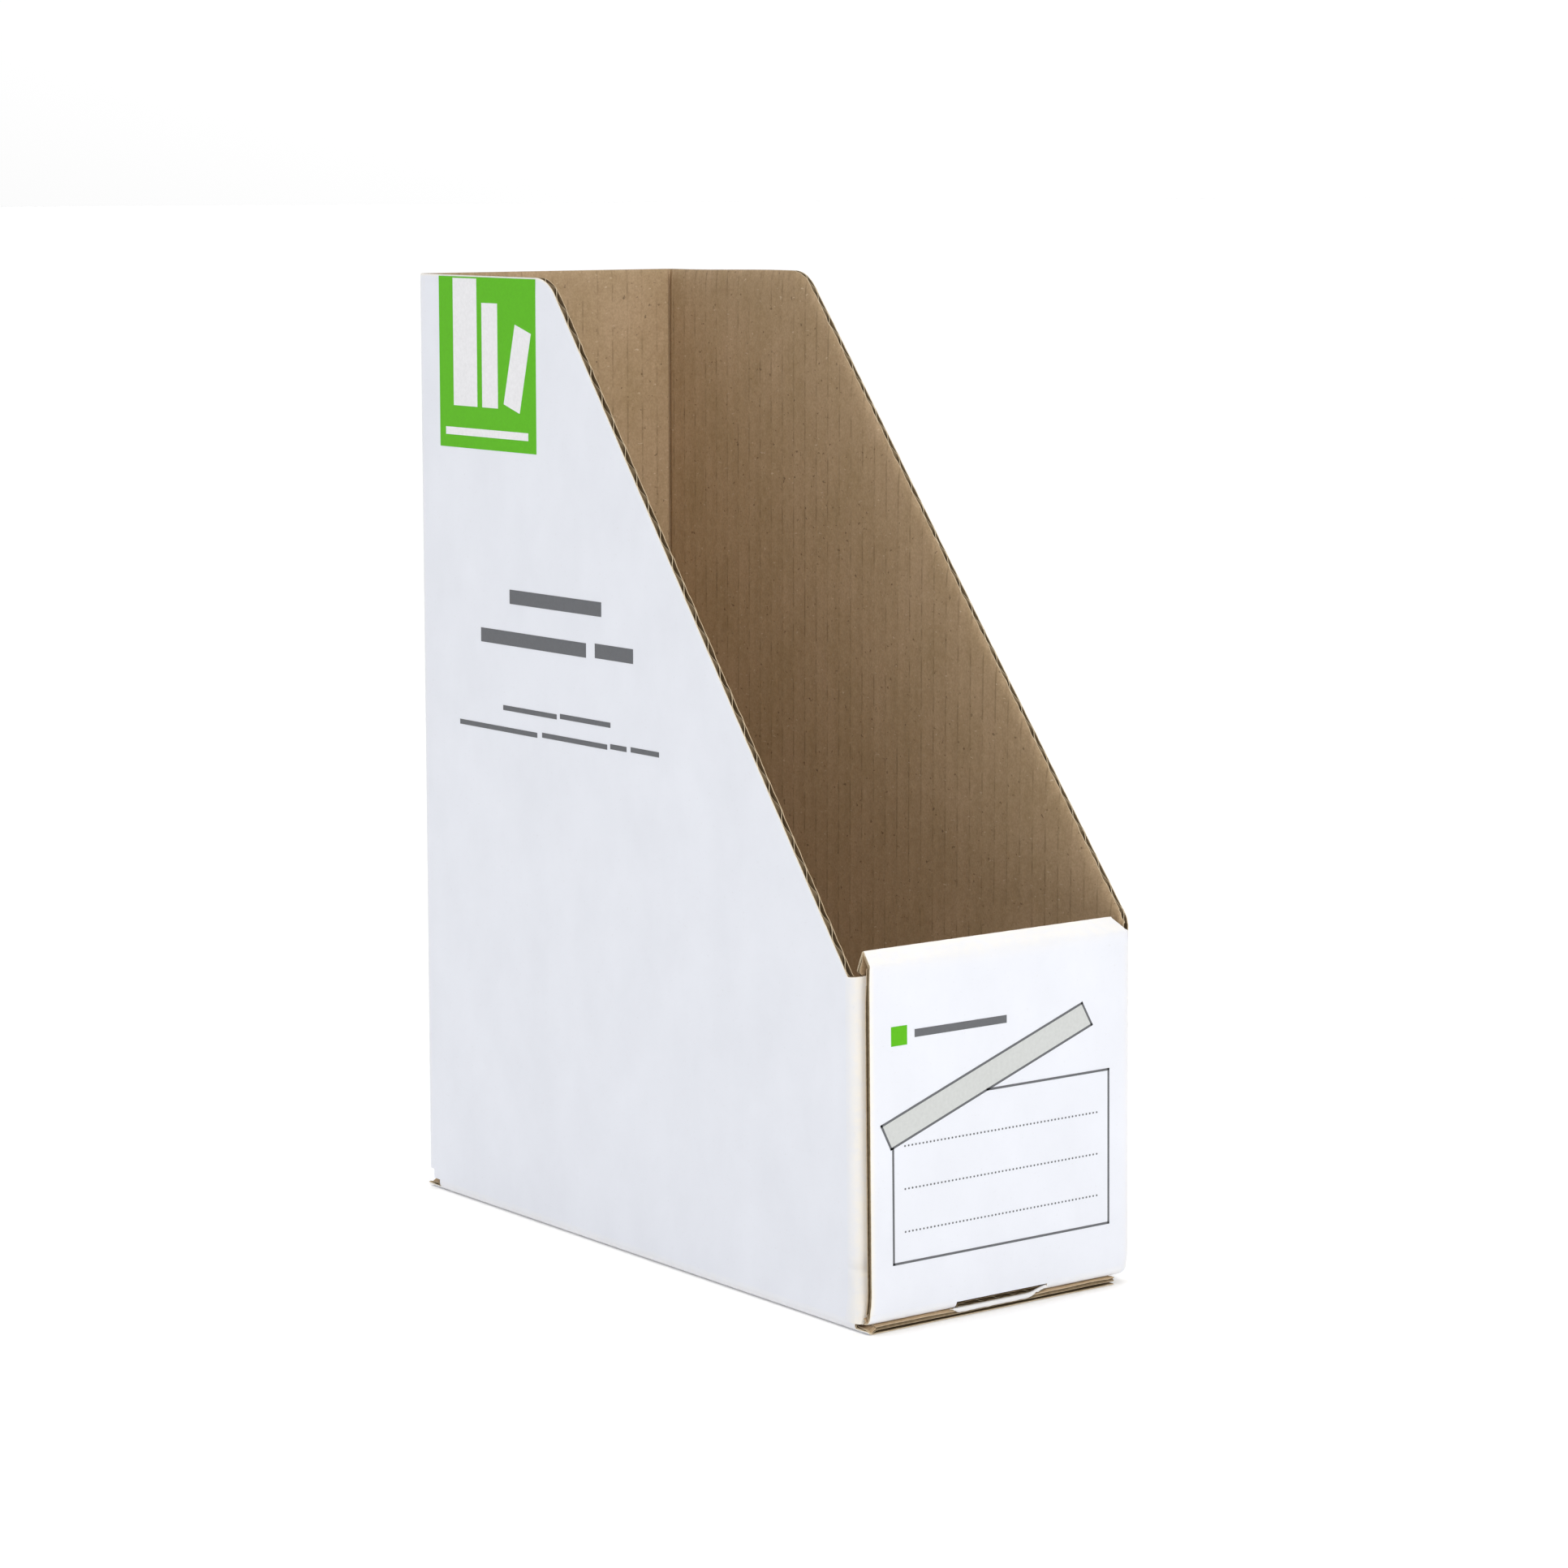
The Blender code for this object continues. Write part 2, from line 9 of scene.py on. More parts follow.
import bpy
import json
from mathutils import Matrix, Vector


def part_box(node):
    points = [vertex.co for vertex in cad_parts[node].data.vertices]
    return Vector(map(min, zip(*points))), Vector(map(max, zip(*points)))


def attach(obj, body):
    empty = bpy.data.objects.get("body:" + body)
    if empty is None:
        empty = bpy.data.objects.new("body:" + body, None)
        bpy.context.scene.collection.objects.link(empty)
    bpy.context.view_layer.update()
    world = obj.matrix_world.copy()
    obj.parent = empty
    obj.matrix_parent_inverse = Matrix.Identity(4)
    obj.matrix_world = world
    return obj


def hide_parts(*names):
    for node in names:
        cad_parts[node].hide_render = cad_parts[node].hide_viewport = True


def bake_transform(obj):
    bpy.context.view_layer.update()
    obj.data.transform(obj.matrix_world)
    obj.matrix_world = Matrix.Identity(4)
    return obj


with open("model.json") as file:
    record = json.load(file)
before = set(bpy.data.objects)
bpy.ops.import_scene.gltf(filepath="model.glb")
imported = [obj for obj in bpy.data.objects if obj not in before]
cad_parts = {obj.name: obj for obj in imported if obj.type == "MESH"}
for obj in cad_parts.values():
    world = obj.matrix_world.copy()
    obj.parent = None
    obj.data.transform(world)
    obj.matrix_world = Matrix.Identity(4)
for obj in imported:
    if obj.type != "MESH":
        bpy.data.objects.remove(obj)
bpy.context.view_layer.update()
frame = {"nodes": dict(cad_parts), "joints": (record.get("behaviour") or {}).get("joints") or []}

import json
import math

import bpy
import numpy as np
from mathutils import Vector

MM = 0.001

# Sizes from the frame
FRONT_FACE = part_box("front_wall_outer_liner")[0].y
BACK_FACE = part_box("back_wall_outer_liner")[1].y
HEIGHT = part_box("back_wall_outer_liner")[1].z
HALF_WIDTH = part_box("right_wall_outer_liner")[1].x
MIDDLE = (FRONT_FACE + BACK_FACE) / 2
HALF_DEPTH = (BACK_FACE - FRONT_FACE) / 2
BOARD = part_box("floor_panel_inner_liner")[1].z
FLAP_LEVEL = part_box("back_flap_outer_liner")[0].z
FLOOR_REACH = (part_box("floor_panel_outer_liner")[1].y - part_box("floor_panel_outer_liner")[0].y) / 2
SHORT_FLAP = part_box("front_flap_inner_liner")[1].y - FRONT_FACE
SIDE_FLAP = HALF_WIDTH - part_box("right_flap_inner_liner")[0].x
GLUE_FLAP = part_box("glue_flap_fluting")[1].x + HALF_WIDTH
GLUE_FLAP_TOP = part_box("glue_flap_fluting")[1].z
INNER_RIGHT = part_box("inner_panel_fluting")[1].x
HINGES = {joint["name"]: Vector(joint["pos_m"]) for joint in frame["joints"]}
RIM_CREASE = HINGES["rim_fold"].z
PEAK_DEPTH = HINGES["roll_over_fold"].y - FRONT_FACE
PEAK_RISE = HINGES["roll_over_fold"].z - RIM_CREASE

# Driving dimensions (metres)
LINER = 0.28 * MM
MEDIUM = 0.20 * MM
FLUTE_PITCH = 6.4 * MM
STEPS_PER_FLUTE = 12
FOLD_RADIUS = 3.8 * MM  # outer radius of three upright folds
GLUE_FOLD_RADIUS = 7.0 * MM  # the fold beside the glue flap is softer
BOTTOM_RADIUS = 2.6 * MM  # outer radius of the left, back and right bottom folds
RAW_EDGE = 0.7 * MM  # the front wall's raw edge, from the left wall's face
FLOOR_END = 101.6 * MM
FLAT = 1.0 * MM  # flat board that a fold's patch keeps on each side
LEFT_LEVEL_TOP = 79.5 * MM  # level part of a side wall's top, from the back
RIGHT_LEVEL_TOP = 80.0 * MM
TOP_ROUNDING = 14 * MM
RIGHT_FRONT_HEIGHT = 116 * MM
LEFT_FRONT_HEIGHT = 111 * MM
GLUE_DEPTH = 3.3 * MM  # the glue flap's white face, behind the front face
GLUE_BOARD = 2.2 * MM
EDGE_CRUSH = 0.9 * MM  # the die squeezes the board thinner along its cut edges
EDGE_REACH = 1.8 * MM
WASHBOARD = 0.06 * MM  # the liners dip between the flutes' tips

FRONT_FOLD_RADIUS = 2.2 * MM
FRONT_FOLD_LEVEL = 2.95 * MM
SLOT_LEFT = -18.7 * MM
SLOT_RIGHT = 18.5 * MM
TAB_LEFT = -17.8 * MM
TAB_RIGHT = 18.0 * MM
LIP_THICK = 0.45 * MM
LEAN = 0.014  # sideways drift of the tube's front end, as a share of the drop
LEAN_TOP = 110 * MM  # the drop is measured from here
LEAN_ONSET = 10 * MM  # the drift sets in over this much height
LEAN_FOOT = 12 * MM  # and fades out this far above the floor
LEAN_START = -20 * MM  # it grows from here to the front end
LEAN_DEPTH = 90 * MM
RIGHT_TOP_RISE = 0.8 * MM  # the right wall's top was cut slightly high at its front
RISE_END = 118 * MM  # along the wall, the rise is spent here
RISE_RUN = 60 * MM
RISE_FROM, RISE_OVER = 0.2, 0.1  # metres of height over which it comes in
GLUE_FOOT_RADIUS = 3.6 * MM  # the floor's fold pulls the foot of the glue fold sharp
GLUE_FOOT = 16 * MM
SEAM_FROM = 7.2 * MM  # run past the corner where the glue fold closes on the floor's
SEAM_BLEND = 0.4 * MM
SEAM_LAP = 0.12 * MM  # the glue flap's patch overlaps its neighbours this far

INNER_LEAN = math.radians(27)
PEAK_RADIUS = 0.9 * MM
SLOT_DEPTH = 10.6 * MM
CREASE_LIFT = 0.9 * MM  # the soft crease sits this far above its pivot
PEAK_LIFT = 0.6 * MM  # the rounded peak stays as high as a sharp one would be
RIM_BELOW = 5.0 * MM  # the front wall's patch ends this far below the crease
LEAN_RUN = 11.5 * MM
FOLD_CRUSHED = 1.3 * MM  # board left in the bend of a bottom fold
TAB_LEVEL = 3.15 * MM  # underside of the lock tab
TAB_BOARD = 1.6 * MM
TAB_TIP = 0.75 * MM  # its tip, behind the front face
INNER_FACE = 9.8 * MM  # the inner panel's lower edge, behind the front face
INNER_BOTTOM = 8.0 * MM
INNER_NARROWS = 6.9 * MM  # down to here the inner panel is as wide as the rim
EDGE_WEAR = 0.6 * MM
GROOVE = 1.2 * MM  # the die's groove along an upright fold, on the brown side
GROOVE_REACH = 1.5 * MM
WALL_FOOT = 12 * MM  # closely spaced rows above a wall's bottom edge
WALL_ROWS = 14


# Number helpers
def ease(x):
    """Smooth step from 0 to 1."""
    x = np.clip(x, 0.0, 1.0)
    return x * x * (3 - 2 * x)


def bump(x, width):
    """A rounded peak of height 1 at x = 0."""
    return np.exp(-(x / width) ** 2)


def wander(x, length, seed):
    """A smooth irregular line between -1 and 1, with features about as long as the length."""
    t = np.asarray(x) / length
    return (
        np.sin(2.1 * t + seed) + np.sin(3.7 * t + 1.9 * seed + 1) + np.sin(6.3 * t + 0.7 * seed + 2)
    ) / 3


def spread(start, end, step):
    """Evenly spaced values from start to end, no further apart than the step."""
    count = max(1, math.ceil(abs(end - start) / step - 1e-6))
    return np.linspace(start, end, count + 1)


def from_sides(u):
    """Distance from the nearer end of the columns."""
    return np.minimum(u - u[0], u[-1] - u)[:, None]


def joined(*runs):
    """Several runs of values as one, without the repeated values where they meet."""
    values = np.concatenate(runs)
    return values[np.concatenate(([True], np.abs(np.diff(values)) > 1e-7))]


FLUTE_STEP = FLUTE_PITCH / STEPS_PER_FLUTE
FOLD_STEP = 0.8 * FLUTE_STEP


# Meshes
def link(name, data):
    piece = bpy.data.objects.new(name, data)
    bpy.context.scene.collection.objects.link(piece)
    return piece


def slab(name, near, far, keep, materials, board, wear_and_highlight):
    """A closed sheet between two grids of points; its faces are near, far and cut edge."""
    columns, rows = near.shape[:2]
    count = columns * rows
    index = np.arange(count).reshape(columns, rows)
    a, b, c, d = index[:-1, :-1], index[1:, :-1], index[1:, 1:], index[:-1, 1:]
    kept = np.ones((columns - 1, rows - 1), bool) if keep is None else keep
    quads = [np.stack([q[kept] for q in (a, b, c, d)], 1)]
    quads.append(quads[0][:, ::-1] + count)
    padded = np.pad(kept, 1)
    sides = (
        (padded[1:-1, :-2], a, b), (padded[2:, 1:-1], b, c),
        (padded[1:-1, 2:], c, d), (padded[:-2, 1:-1], d, a),
    )
    for neighbour, first, second in sides:
        edge = kept & ~neighbour
        p, q = first[edge], second[edge]
        quads.append(np.stack([q, p, p + count, q + count], 1))
    faces = np.concatenate(quads)
    slots = np.zeros(len(faces), np.int32)
    slots[len(quads[0]):] = 1
    slots[2 * len(quads[0]):] = 2
    used, corners = np.unique(faces, return_inverse=True)
    points = np.concatenate([near.reshape(-1, 3), far.reshape(-1, 3)])[used]

    mesh = bpy.data.meshes.new(name)
    mesh.vertices.add(len(points))
    mesh.vertices.foreach_set("co", points.astype(np.float32).ravel())
    mesh.loops.add(faces.size)
    mesh.loops.foreach_set("vertex_index", corners.astype(np.int32).ravel())
    mesh.polygons.add(len(faces))
    mesh.polygons.foreach_set("loop_start", np.arange(0, faces.size, 4, dtype=np.int32))
    mesh.polygons.foreach_set("material_index", slots)
    mesh.polygons.foreach_set("use_smooth", slots < 2)
    for material in materials:
        mesh.materials.append(material)
    flat = np.concatenate([board[0].reshape(-1, 3), board[1].reshape(-1, 3)])[used]
    mesh.attributes.new("board", "FLOAT_VECTOR", "POINT").data.foreach_set(
        "vector", flat.astype(np.float32).ravel()
    )
    # Per-point share of the cream tint: worn coating, and a painted highlight.
    worn_and_lit = np.concatenate([wear_and_highlight.ravel(), wear_and_highlight.ravel()])[used]
    mesh.attributes.new("wear_and_highlight", "FLOAT", "POINT").data.foreach_set(
        "value", worn_and_lit.astype(np.float32)
    )
    mesh.update(calc_edges=True)
    edges = np.zeros(faces.size, np.int32)
    mesh.loops.foreach_get("edge_index", edges)
    sharp = np.zeros(len(mesh.edges), bool)
    sharp[edges[8 * len(quads[0]):]] = True
    mesh.edges.foreach_set("use_edge_sharp", sharp)
    return link(name, mesh)


class Patch:
    """A patch of board: its grid of u and v, how deep its two faces lie, and where it is worn and
    painted lighter as a highlight.
    """

    def __init__(
        self, name, place, u, v, near=0.0, far=BOARD, keep=None, wear_and_highlight=0.0, origin=(0.0, 0.0, 1)
    ):
        self.name = name
        self.place = place
        self.u, self.v = np.broadcast_arrays(u, v)
        self.near = np.broadcast_to(near, self.u.shape)
        self.far = np.broadcast_to(far, self.u.shape)
        self.wear_and_highlight = np.broadcast_to(wear_and_highlight, self.u.shape).astype(float)
        self.keep = keep
        self.origin = origin

    def surface(self, depth, du=0.0):
        """World points at a depth, and the same points' coordinates on the flat blank."""
        u = self.u + du
        x, y, z = self.place(u, self.v, depth)
        points = np.stack(np.broadcast_arrays(x, y, z), -1)
        across, along, way = self.origin
        flat = (across + u, along + way * self.v, depth)
        return points, np.stack(np.broadcast_arrays(*flat), -1)

    def sheet(self, suffix, low, high, materials, du=(0.0, 0.0)):
        near, near_flat = self.surface(low, du[0])
        far, far_flat = self.surface(high, du[1])
        name = f"{self.name}_{suffix}"
        return slab(name, near, far, self.keep, materials, (near_flat, far_flat), self.wear_and_highlight)

    def plies(self, paper):
        """The three plies as three pieces."""
        phase = 2 * math.pi * (self.origin[0] + self.u - FIRST_FLUTE) / FLUTE_PITCH
        low = self.near + WASHBOARD / 2 * (1 + np.cos(phase)) / 2
        high = self.far - WASHBOARD * (1 - np.cos(phase)) / 2
        outer = self.sheet(
            "outer_paper", low, low + LINER, (paper["white"], paper["raw"], paper["white_edge"])
        )
        inner = self.sheet(
            "inner_paper", high - LINER, high, (paper["raw"], paper["kraft"], paper["kraft_edge"])
        )
        room = np.maximum(high - low - 2 * LINER - MEDIUM, 0.02 * MM)
        middle = (low + high) / 2
        wave = middle + room / 2 * np.cos(phase)
        slope = -room / 2 * np.sin(phase) * 2 * math.pi / FLUTE_PITCH
        steep = np.sqrt(1 + slope ** 2)
        aside = MEDIUM / 2 * slope / steep
        half = MEDIUM / 2 / steep
        flutes = self.sheet(
            "flutes", wave - half, wave + half,
            (paper["medium"], paper["medium"], paper["medium_edge"]), (aside, -aside),
        )
        return outer, flutes, inner


SLOTS = ("white_liner", "corrugated_medium", "brown_liner")
CAD_PLIES = ("outer_liner", "fluting", "inner_liner")


def rigid(patch, paper, body):
    """Build a patch that rides on one body, and hide the CAD panel of the same name."""
    for piece, slot, ply in zip(patch.plies(paper), SLOTS, CAD_PLIES):
        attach(piece, body)
        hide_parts(f"{patch.name}_{ply}")


def bending(patch, paper):
    """Build a patch in place, its placement baked into its meshes, on no body."""
    for piece, slot in zip(patch.plies(paper), SLOTS):
        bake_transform(piece)


# Places
def settled(x, y, z):
    """The glued tube isn't quite square: its front end drifts sideways towards the bottom."""
    drop = LEAN_TOP - z
    drop = (drop + np.sqrt(drop ** 2 + LEAN_ONSET ** 2)) / 2
    above_floor = ease(z / LEAN_FOOT)
    return x + LEAN * drop * above_floor * ease((LEAN_START - y) / LEAN_DEPTH), y, z


def on_front(along, depth, height):
    return settled(along, FRONT_FACE + depth, height)


def on_right(along, depth, height):
    return settled(HALF_WIDTH - depth, MIDDLE + along, height)


def on_back(along, depth, height):
    return settled(-along, BACK_FACE - depth, height)


def on_left(along, depth, height):
    return settled(-HALF_WIDTH + depth, MIDDLE - along, height)


def around_corner(u, depth, corner, radius):
    """(along, depth) of a wall that turns inward around an upright fold past +-corner."""
    over = np.maximum(np.abs(u) - corner, 0.0)
    turn = np.minimum(over / radius, math.pi / 2)
    left_over = np.maximum(over - radius * math.pi / 2, 0.0)
    inside = radius - depth
    along = np.sign(u) * (np.minimum(np.abs(u), corner) + inside * np.sin(turn))
    return along, radius - inside * np.cos(turn) + left_over


def around_bottom(run, depth, underside, radius):
    """(depth, height) of a bottom fold: the run is measured inwards from where the bend starts."""
    turn = np.clip(run / radius, 0.0, math.pi / 2)
    inside = radius - depth
    inward = np.maximum(run - radius * math.pi / 2, 0.0)
    upward = np.maximum(-run, 0.0)
    return (
        radius - inside * np.cos(turn) + inward,
        underside + radius - inside * np.sin(turn) + upward,
    )


# Walls
NEAR_TOP = np.array([7.0, 4.5, 3.0, 2.0, 1.3, 0.8, 0.4, 0.15, 0.0]) * MM


def slanted_top(distance, slope):
    """Height of a side wall's top, by distance forward of where its level part ends."""
    turn = math.atan(slope)
    tangent = TOP_ROUNDING * math.tan(turn / 2)
    over = distance + tangent
    arc = HEIGHT - TOP_ROUNDING + np.sqrt(
        np.maximum(TOP_ROUNDING ** 2 - np.clip(over, 0, TOP_ROUNDING * math.sin(turn)) ** 2, 0)
    )
    line = HEIGHT - slope * distance
    return np.where(distance < -tangent, HEIGHT, np.where(
        distance < tangent * math.cos(turn), arc, line
    ))


def wall_heights(bottom, top):
    """Rows of a wall that are closer at its foot and top edge, and their distance from the top."""
    shares = np.linspace(0, 1, WALL_ROWS)[None, :-1]
    top = top[:, None]
    foot = bottom + np.arange(0, 12, 2)[None, :] * MM + 0 * top
    start = bottom + WALL_FOOT
    below = start + shares * (top - NEAR_TOP[0] - start)
    heights = np.concatenate([foot, below, top - NEAR_TOP[None, :]], 1)
    return heights, top - heights


# Where each panel lies across the blank: the flutes run on around the tube.
ARC = FOLD_RADIUS * math.pi / 2
GLUE_ARC = GLUE_FOLD_RADIUS * math.pi / 2
CORNER = HALF_WIDTH - FOLD_RADIUS
GLUE_CORNER = HALF_WIDTH - GLUE_FOLD_RADIUS
SIDE_REACH = HALF_DEPTH - FOLD_RADIUS
LEFT_FRONT_END = HALF_DEPTH - GLUE_DEPTH - GLUE_FOLD_RADIUS
RIGHT_ORIGIN = CORNER + ARC + SIDE_REACH
BACK_ORIGIN = RIGHT_ORIGIN + SIDE_REACH + CORNER + ARC
LEFT_ORIGIN = BACK_ORIGIN + CORNER + ARC + SIDE_REACH
GLUE_ORIGIN = LEFT_ORIGIN + LEFT_FRONT_END + GLUE_CORNER + GLUE_ARC
FIRST_FLUTE = LEFT_ORIGIN + FLOOR_REACH - FLUTE_PITCH / 4


def cut_edge(u, distance, slope_cos=1.0, seed=0.0, board=BOARD, crush=EDGE_CRUSH):
    """Depths of a board's two faces near a cut edge, where the die has squeezed it."""
    strength = 0.8 + 0.25 * wander(u, 3 * MM, seed) + 0.15 * wander(u, 11 * MM, seed + 4)
    squeeze = crush * strength * np.exp(-np.maximum(distance, 0) * slope_cos / EDGE_REACH)
    return 0.2 * squeeze, board - 0.8 * squeeze


def side_slope(front_height, front_end, level_top):
    """Fall of a side wall's slanted edge per metre, from the level top to its front end."""
    return (HEIGHT - front_height) / (front_end + HALF_DEPTH - level_top)


LEFT_SLOPE = side_slope(LEFT_FRONT_HEIGHT, LEFT_FRONT_END, LEFT_LEVEL_TOP)
RIGHT_SLOPE = side_slope(RIGHT_FRONT_HEIGHT, HALF_DEPTH, RIGHT_LEVEL_TOP)


def side_wall(paper, name, wall, u, top, slope, level, crush, seed, across):
    """A side wall, from above its bottom fold to its level top and slanted edge."""
    v, distance = wall_heights(level + BOTTOM_RADIUS + FLAT, top)
    near, far = cut_edge(u[:, None], distance, 1 / math.hypot(1, slope), seed, crush=crush)
    patch = Patch(
        name, lambda a, b, d: wall(a, d, b), u[:, None], v, near, far,
        wear_and_highlight=bump(distance, EDGE_WEAR), origin=(across, 0, 1),
    )
    rigid(patch, paper, "tube")


def left_wall(paper):
    u = spread(-SIDE_REACH + FLAT, LEFT_FRONT_END - FLAT, FLUTE_STEP)
    top = slanted_top(u + HALF_DEPTH - LEFT_LEVEL_TOP, LEFT_SLOPE)
    side_wall(
        paper, "left_wall", on_left, u, top, LEFT_SLOPE, 0.0, EDGE_CRUSH, 1.0, LEFT_ORIGIN
    )


def right_wall(paper):
    u = spread(-SIDE_REACH + FLAT, SIDE_REACH - FLAT, FLUTE_STEP)
    top = slanted_top(HALF_DEPTH - RIGHT_LEVEL_TOP - u, RIGHT_SLOPE)
    high = ease((top - RISE_FROM) / RISE_OVER)
    top = top + RIGHT_TOP_RISE * ease((RISE_END - u) / RISE_RUN) * high
    side_wall(
        paper, "right_wall", on_right, u, top, RIGHT_SLOPE, FLAP_LEVEL, 1.6 * EDGE_CRUSH, 2.0,
        RIGHT_ORIGIN,
    )


def corner_groove(from_fold):
    """How deep the crease of an upright fold was pressed into the brown face."""
    return GROOVE * bump(from_fold, GROOVE_REACH)


def back_wall(paper):
    end = CORNER + ARC + FLAT
    u = joined(
        spread(-end, -CORNER, FOLD_STEP), spread(-CORNER, CORNER, FLUTE_STEP),
        spread(CORNER, end, FOLD_STEP),
    )
    v, distance = wall_heights(FLAP_LEVEL + BOTTOM_RADIUS + FLAT, np.full(len(u), HEIGHT))
    near, far = cut_edge(u[:, None], distance, 1.0, 3.0)
    from_fold = np.abs(u[:, None]) - CORNER - ARC / 2
    far = far - corner_groove(from_fold)
    wear_and_highlight = np.maximum(bump(distance, EDGE_WEAR), 0.5 * bump(from_fold, 2 * MM))

    def place(a, b, d):
        along, depth = around_corner(a, d, CORNER, FOLD_RADIUS)
        return on_back(along, depth, b)

    origin = (BACK_ORIGIN, 0, 1)
    patch = Patch("back_wall", place, u[:, None], v, near, far, wear_and_highlight=wear_and_highlight, origin=origin)
    rigid(patch, paper, "tube")


STRIP_END = CORNER + 3.2 * MM  # the rim strip's cut starts here, on the front-right fold
FRONT_LEFT = -HALF_WIDTH + RAW_EDGE
FRONT_BEND = FRONT_FOLD_LEVEL + FRONT_FOLD_RADIUS


def around_right_corner(a, depth):
    along, wrapped = around_corner(np.maximum(a, -CORNER), depth, CORNER, FOLD_RADIUS)
    return along + np.minimum(a + CORNER, 0), wrapped


def front_place(a, b, d):
    """The front wall wraps around the right corner, whose foot curls in like the front's fold."""
    run = np.minimum(FRONT_BEND - b, FRONT_FOLD_RADIUS)
    depth, height = around_bottom(run, d, FRONT_FOLD_LEVEL, FRONT_FOLD_RADIUS)
    along, depth = around_right_corner(a, depth)
    return on_front(along, depth, height)


RAW_ENDS = np.array([0, 0.15, 0.4, 0.8]) * MM
RAW_REACH = 1.2 * MM


def raw_columns(end, start=FRONT_LEFT):
    """Columns that close up at a raw left edge."""
    return joined(start + RAW_ENDS, spread(start + RAW_REACH, end, FLUTE_STEP))


def raw_squeeze(raw):
    """How much the front's raw left edge is squeezed."""
    return 0.75 * MM * np.exp(-raw / (1.8 * MM))


def front_wall(paper):
    """The front wall and the front-right fold, which rises beside the rim."""
    beside = CORNER + ARC
    u = joined(
        raw_columns(SLOT_LEFT), spread(SLOT_LEFT, SLOT_RIGHT, FLUTE_STEP),
        spread(SLOT_RIGHT, CORNER, FLUTE_STEP), spread(CORNER, STRIP_END, FOLD_STEP),
        spread(STRIP_END, beside, FOLD_STEP), spread(beside, beside + FLAT, FLAT / 2),
    )
    top = RIGHT_FRONT_HEIGHT + RIGHT_SLOPE * (FOLD_RADIUS - (beside - u))
    low = FRONT_BEND + FLAT
    crease_low = RIM_CREASE - RIM_BELOW
    foot = 3.0 * MM + 3.0 * MM * ease((u[:, None] - CORNER) / ARC)
    over_slot = (u > SLOT_LEFT - 0.01 * MM) & (u < SLOT_RIGHT + 0.01 * MM)
    foot = np.where(over_slot[:, None], FRONT_BEND, foot)
    relief = foot + np.linspace(0, 1, 7)[None, :-1] * (low - foot)
    wall = np.linspace(low, crease_low, 36)
    rise = np.array([0.25, 0.5, 0.7, 0.85, 0.94, 1.0])
    v = np.concatenate([
        relief, np.tile(wall, (len(u), 1)),
        crease_low + rise[None, :] * (top[:, None] - crease_low),
    ], 1)
    column = (u[1:] + u[:-1]) / 2
    rows = v.shape[1] - 1
    row = np.arange(rows)
    keep = np.ones((len(u) - 1, rows), bool)
    above_slot = (column > SLOT_LEFT) & (column < SLOT_RIGHT)
    keep[:, row < relief.shape[1]] &= (above_slot | (column > CORNER))[:, None]
    keep[:, row >= relief.shape[1] + len(wall) - 1] &= (column > STRIP_END)[:, None]
    above = np.where(u[:, None] > STRIP_END, top[:, None] - v, 1.0)
    near, far = cut_edge(v, above, 1.0, 5.0)
    raw = u[:, None] - FRONT_LEFT + 0 * v
    near = near + 0.3 * raw_squeeze(raw)
    far = far - raw_squeeze(raw)
    from_fold = u[:, None] - CORNER - ARC / 2
    far = far - corner_groove(from_fold)
    far = far - 0.35 * MM * ease((v - crease_low + 6 * MM) / (6 * MM)) * (u[:, None] < STRIP_END)
    far = far - 1.2 * MM * ease((FRONT_BEND + MM - v) / (2 * MM)) * (u[:, None] > CORNER - MM)
    wear_and_highlight = np.maximum(bump(raw, 1.2 * MM), 0.5 * bump(from_fold, 2.2 * MM))
    patch = Patch("front_wall", front_place, u[:, None], v, near, far, keep, wear_and_highlight)
    rigid(patch, paper, "tube")


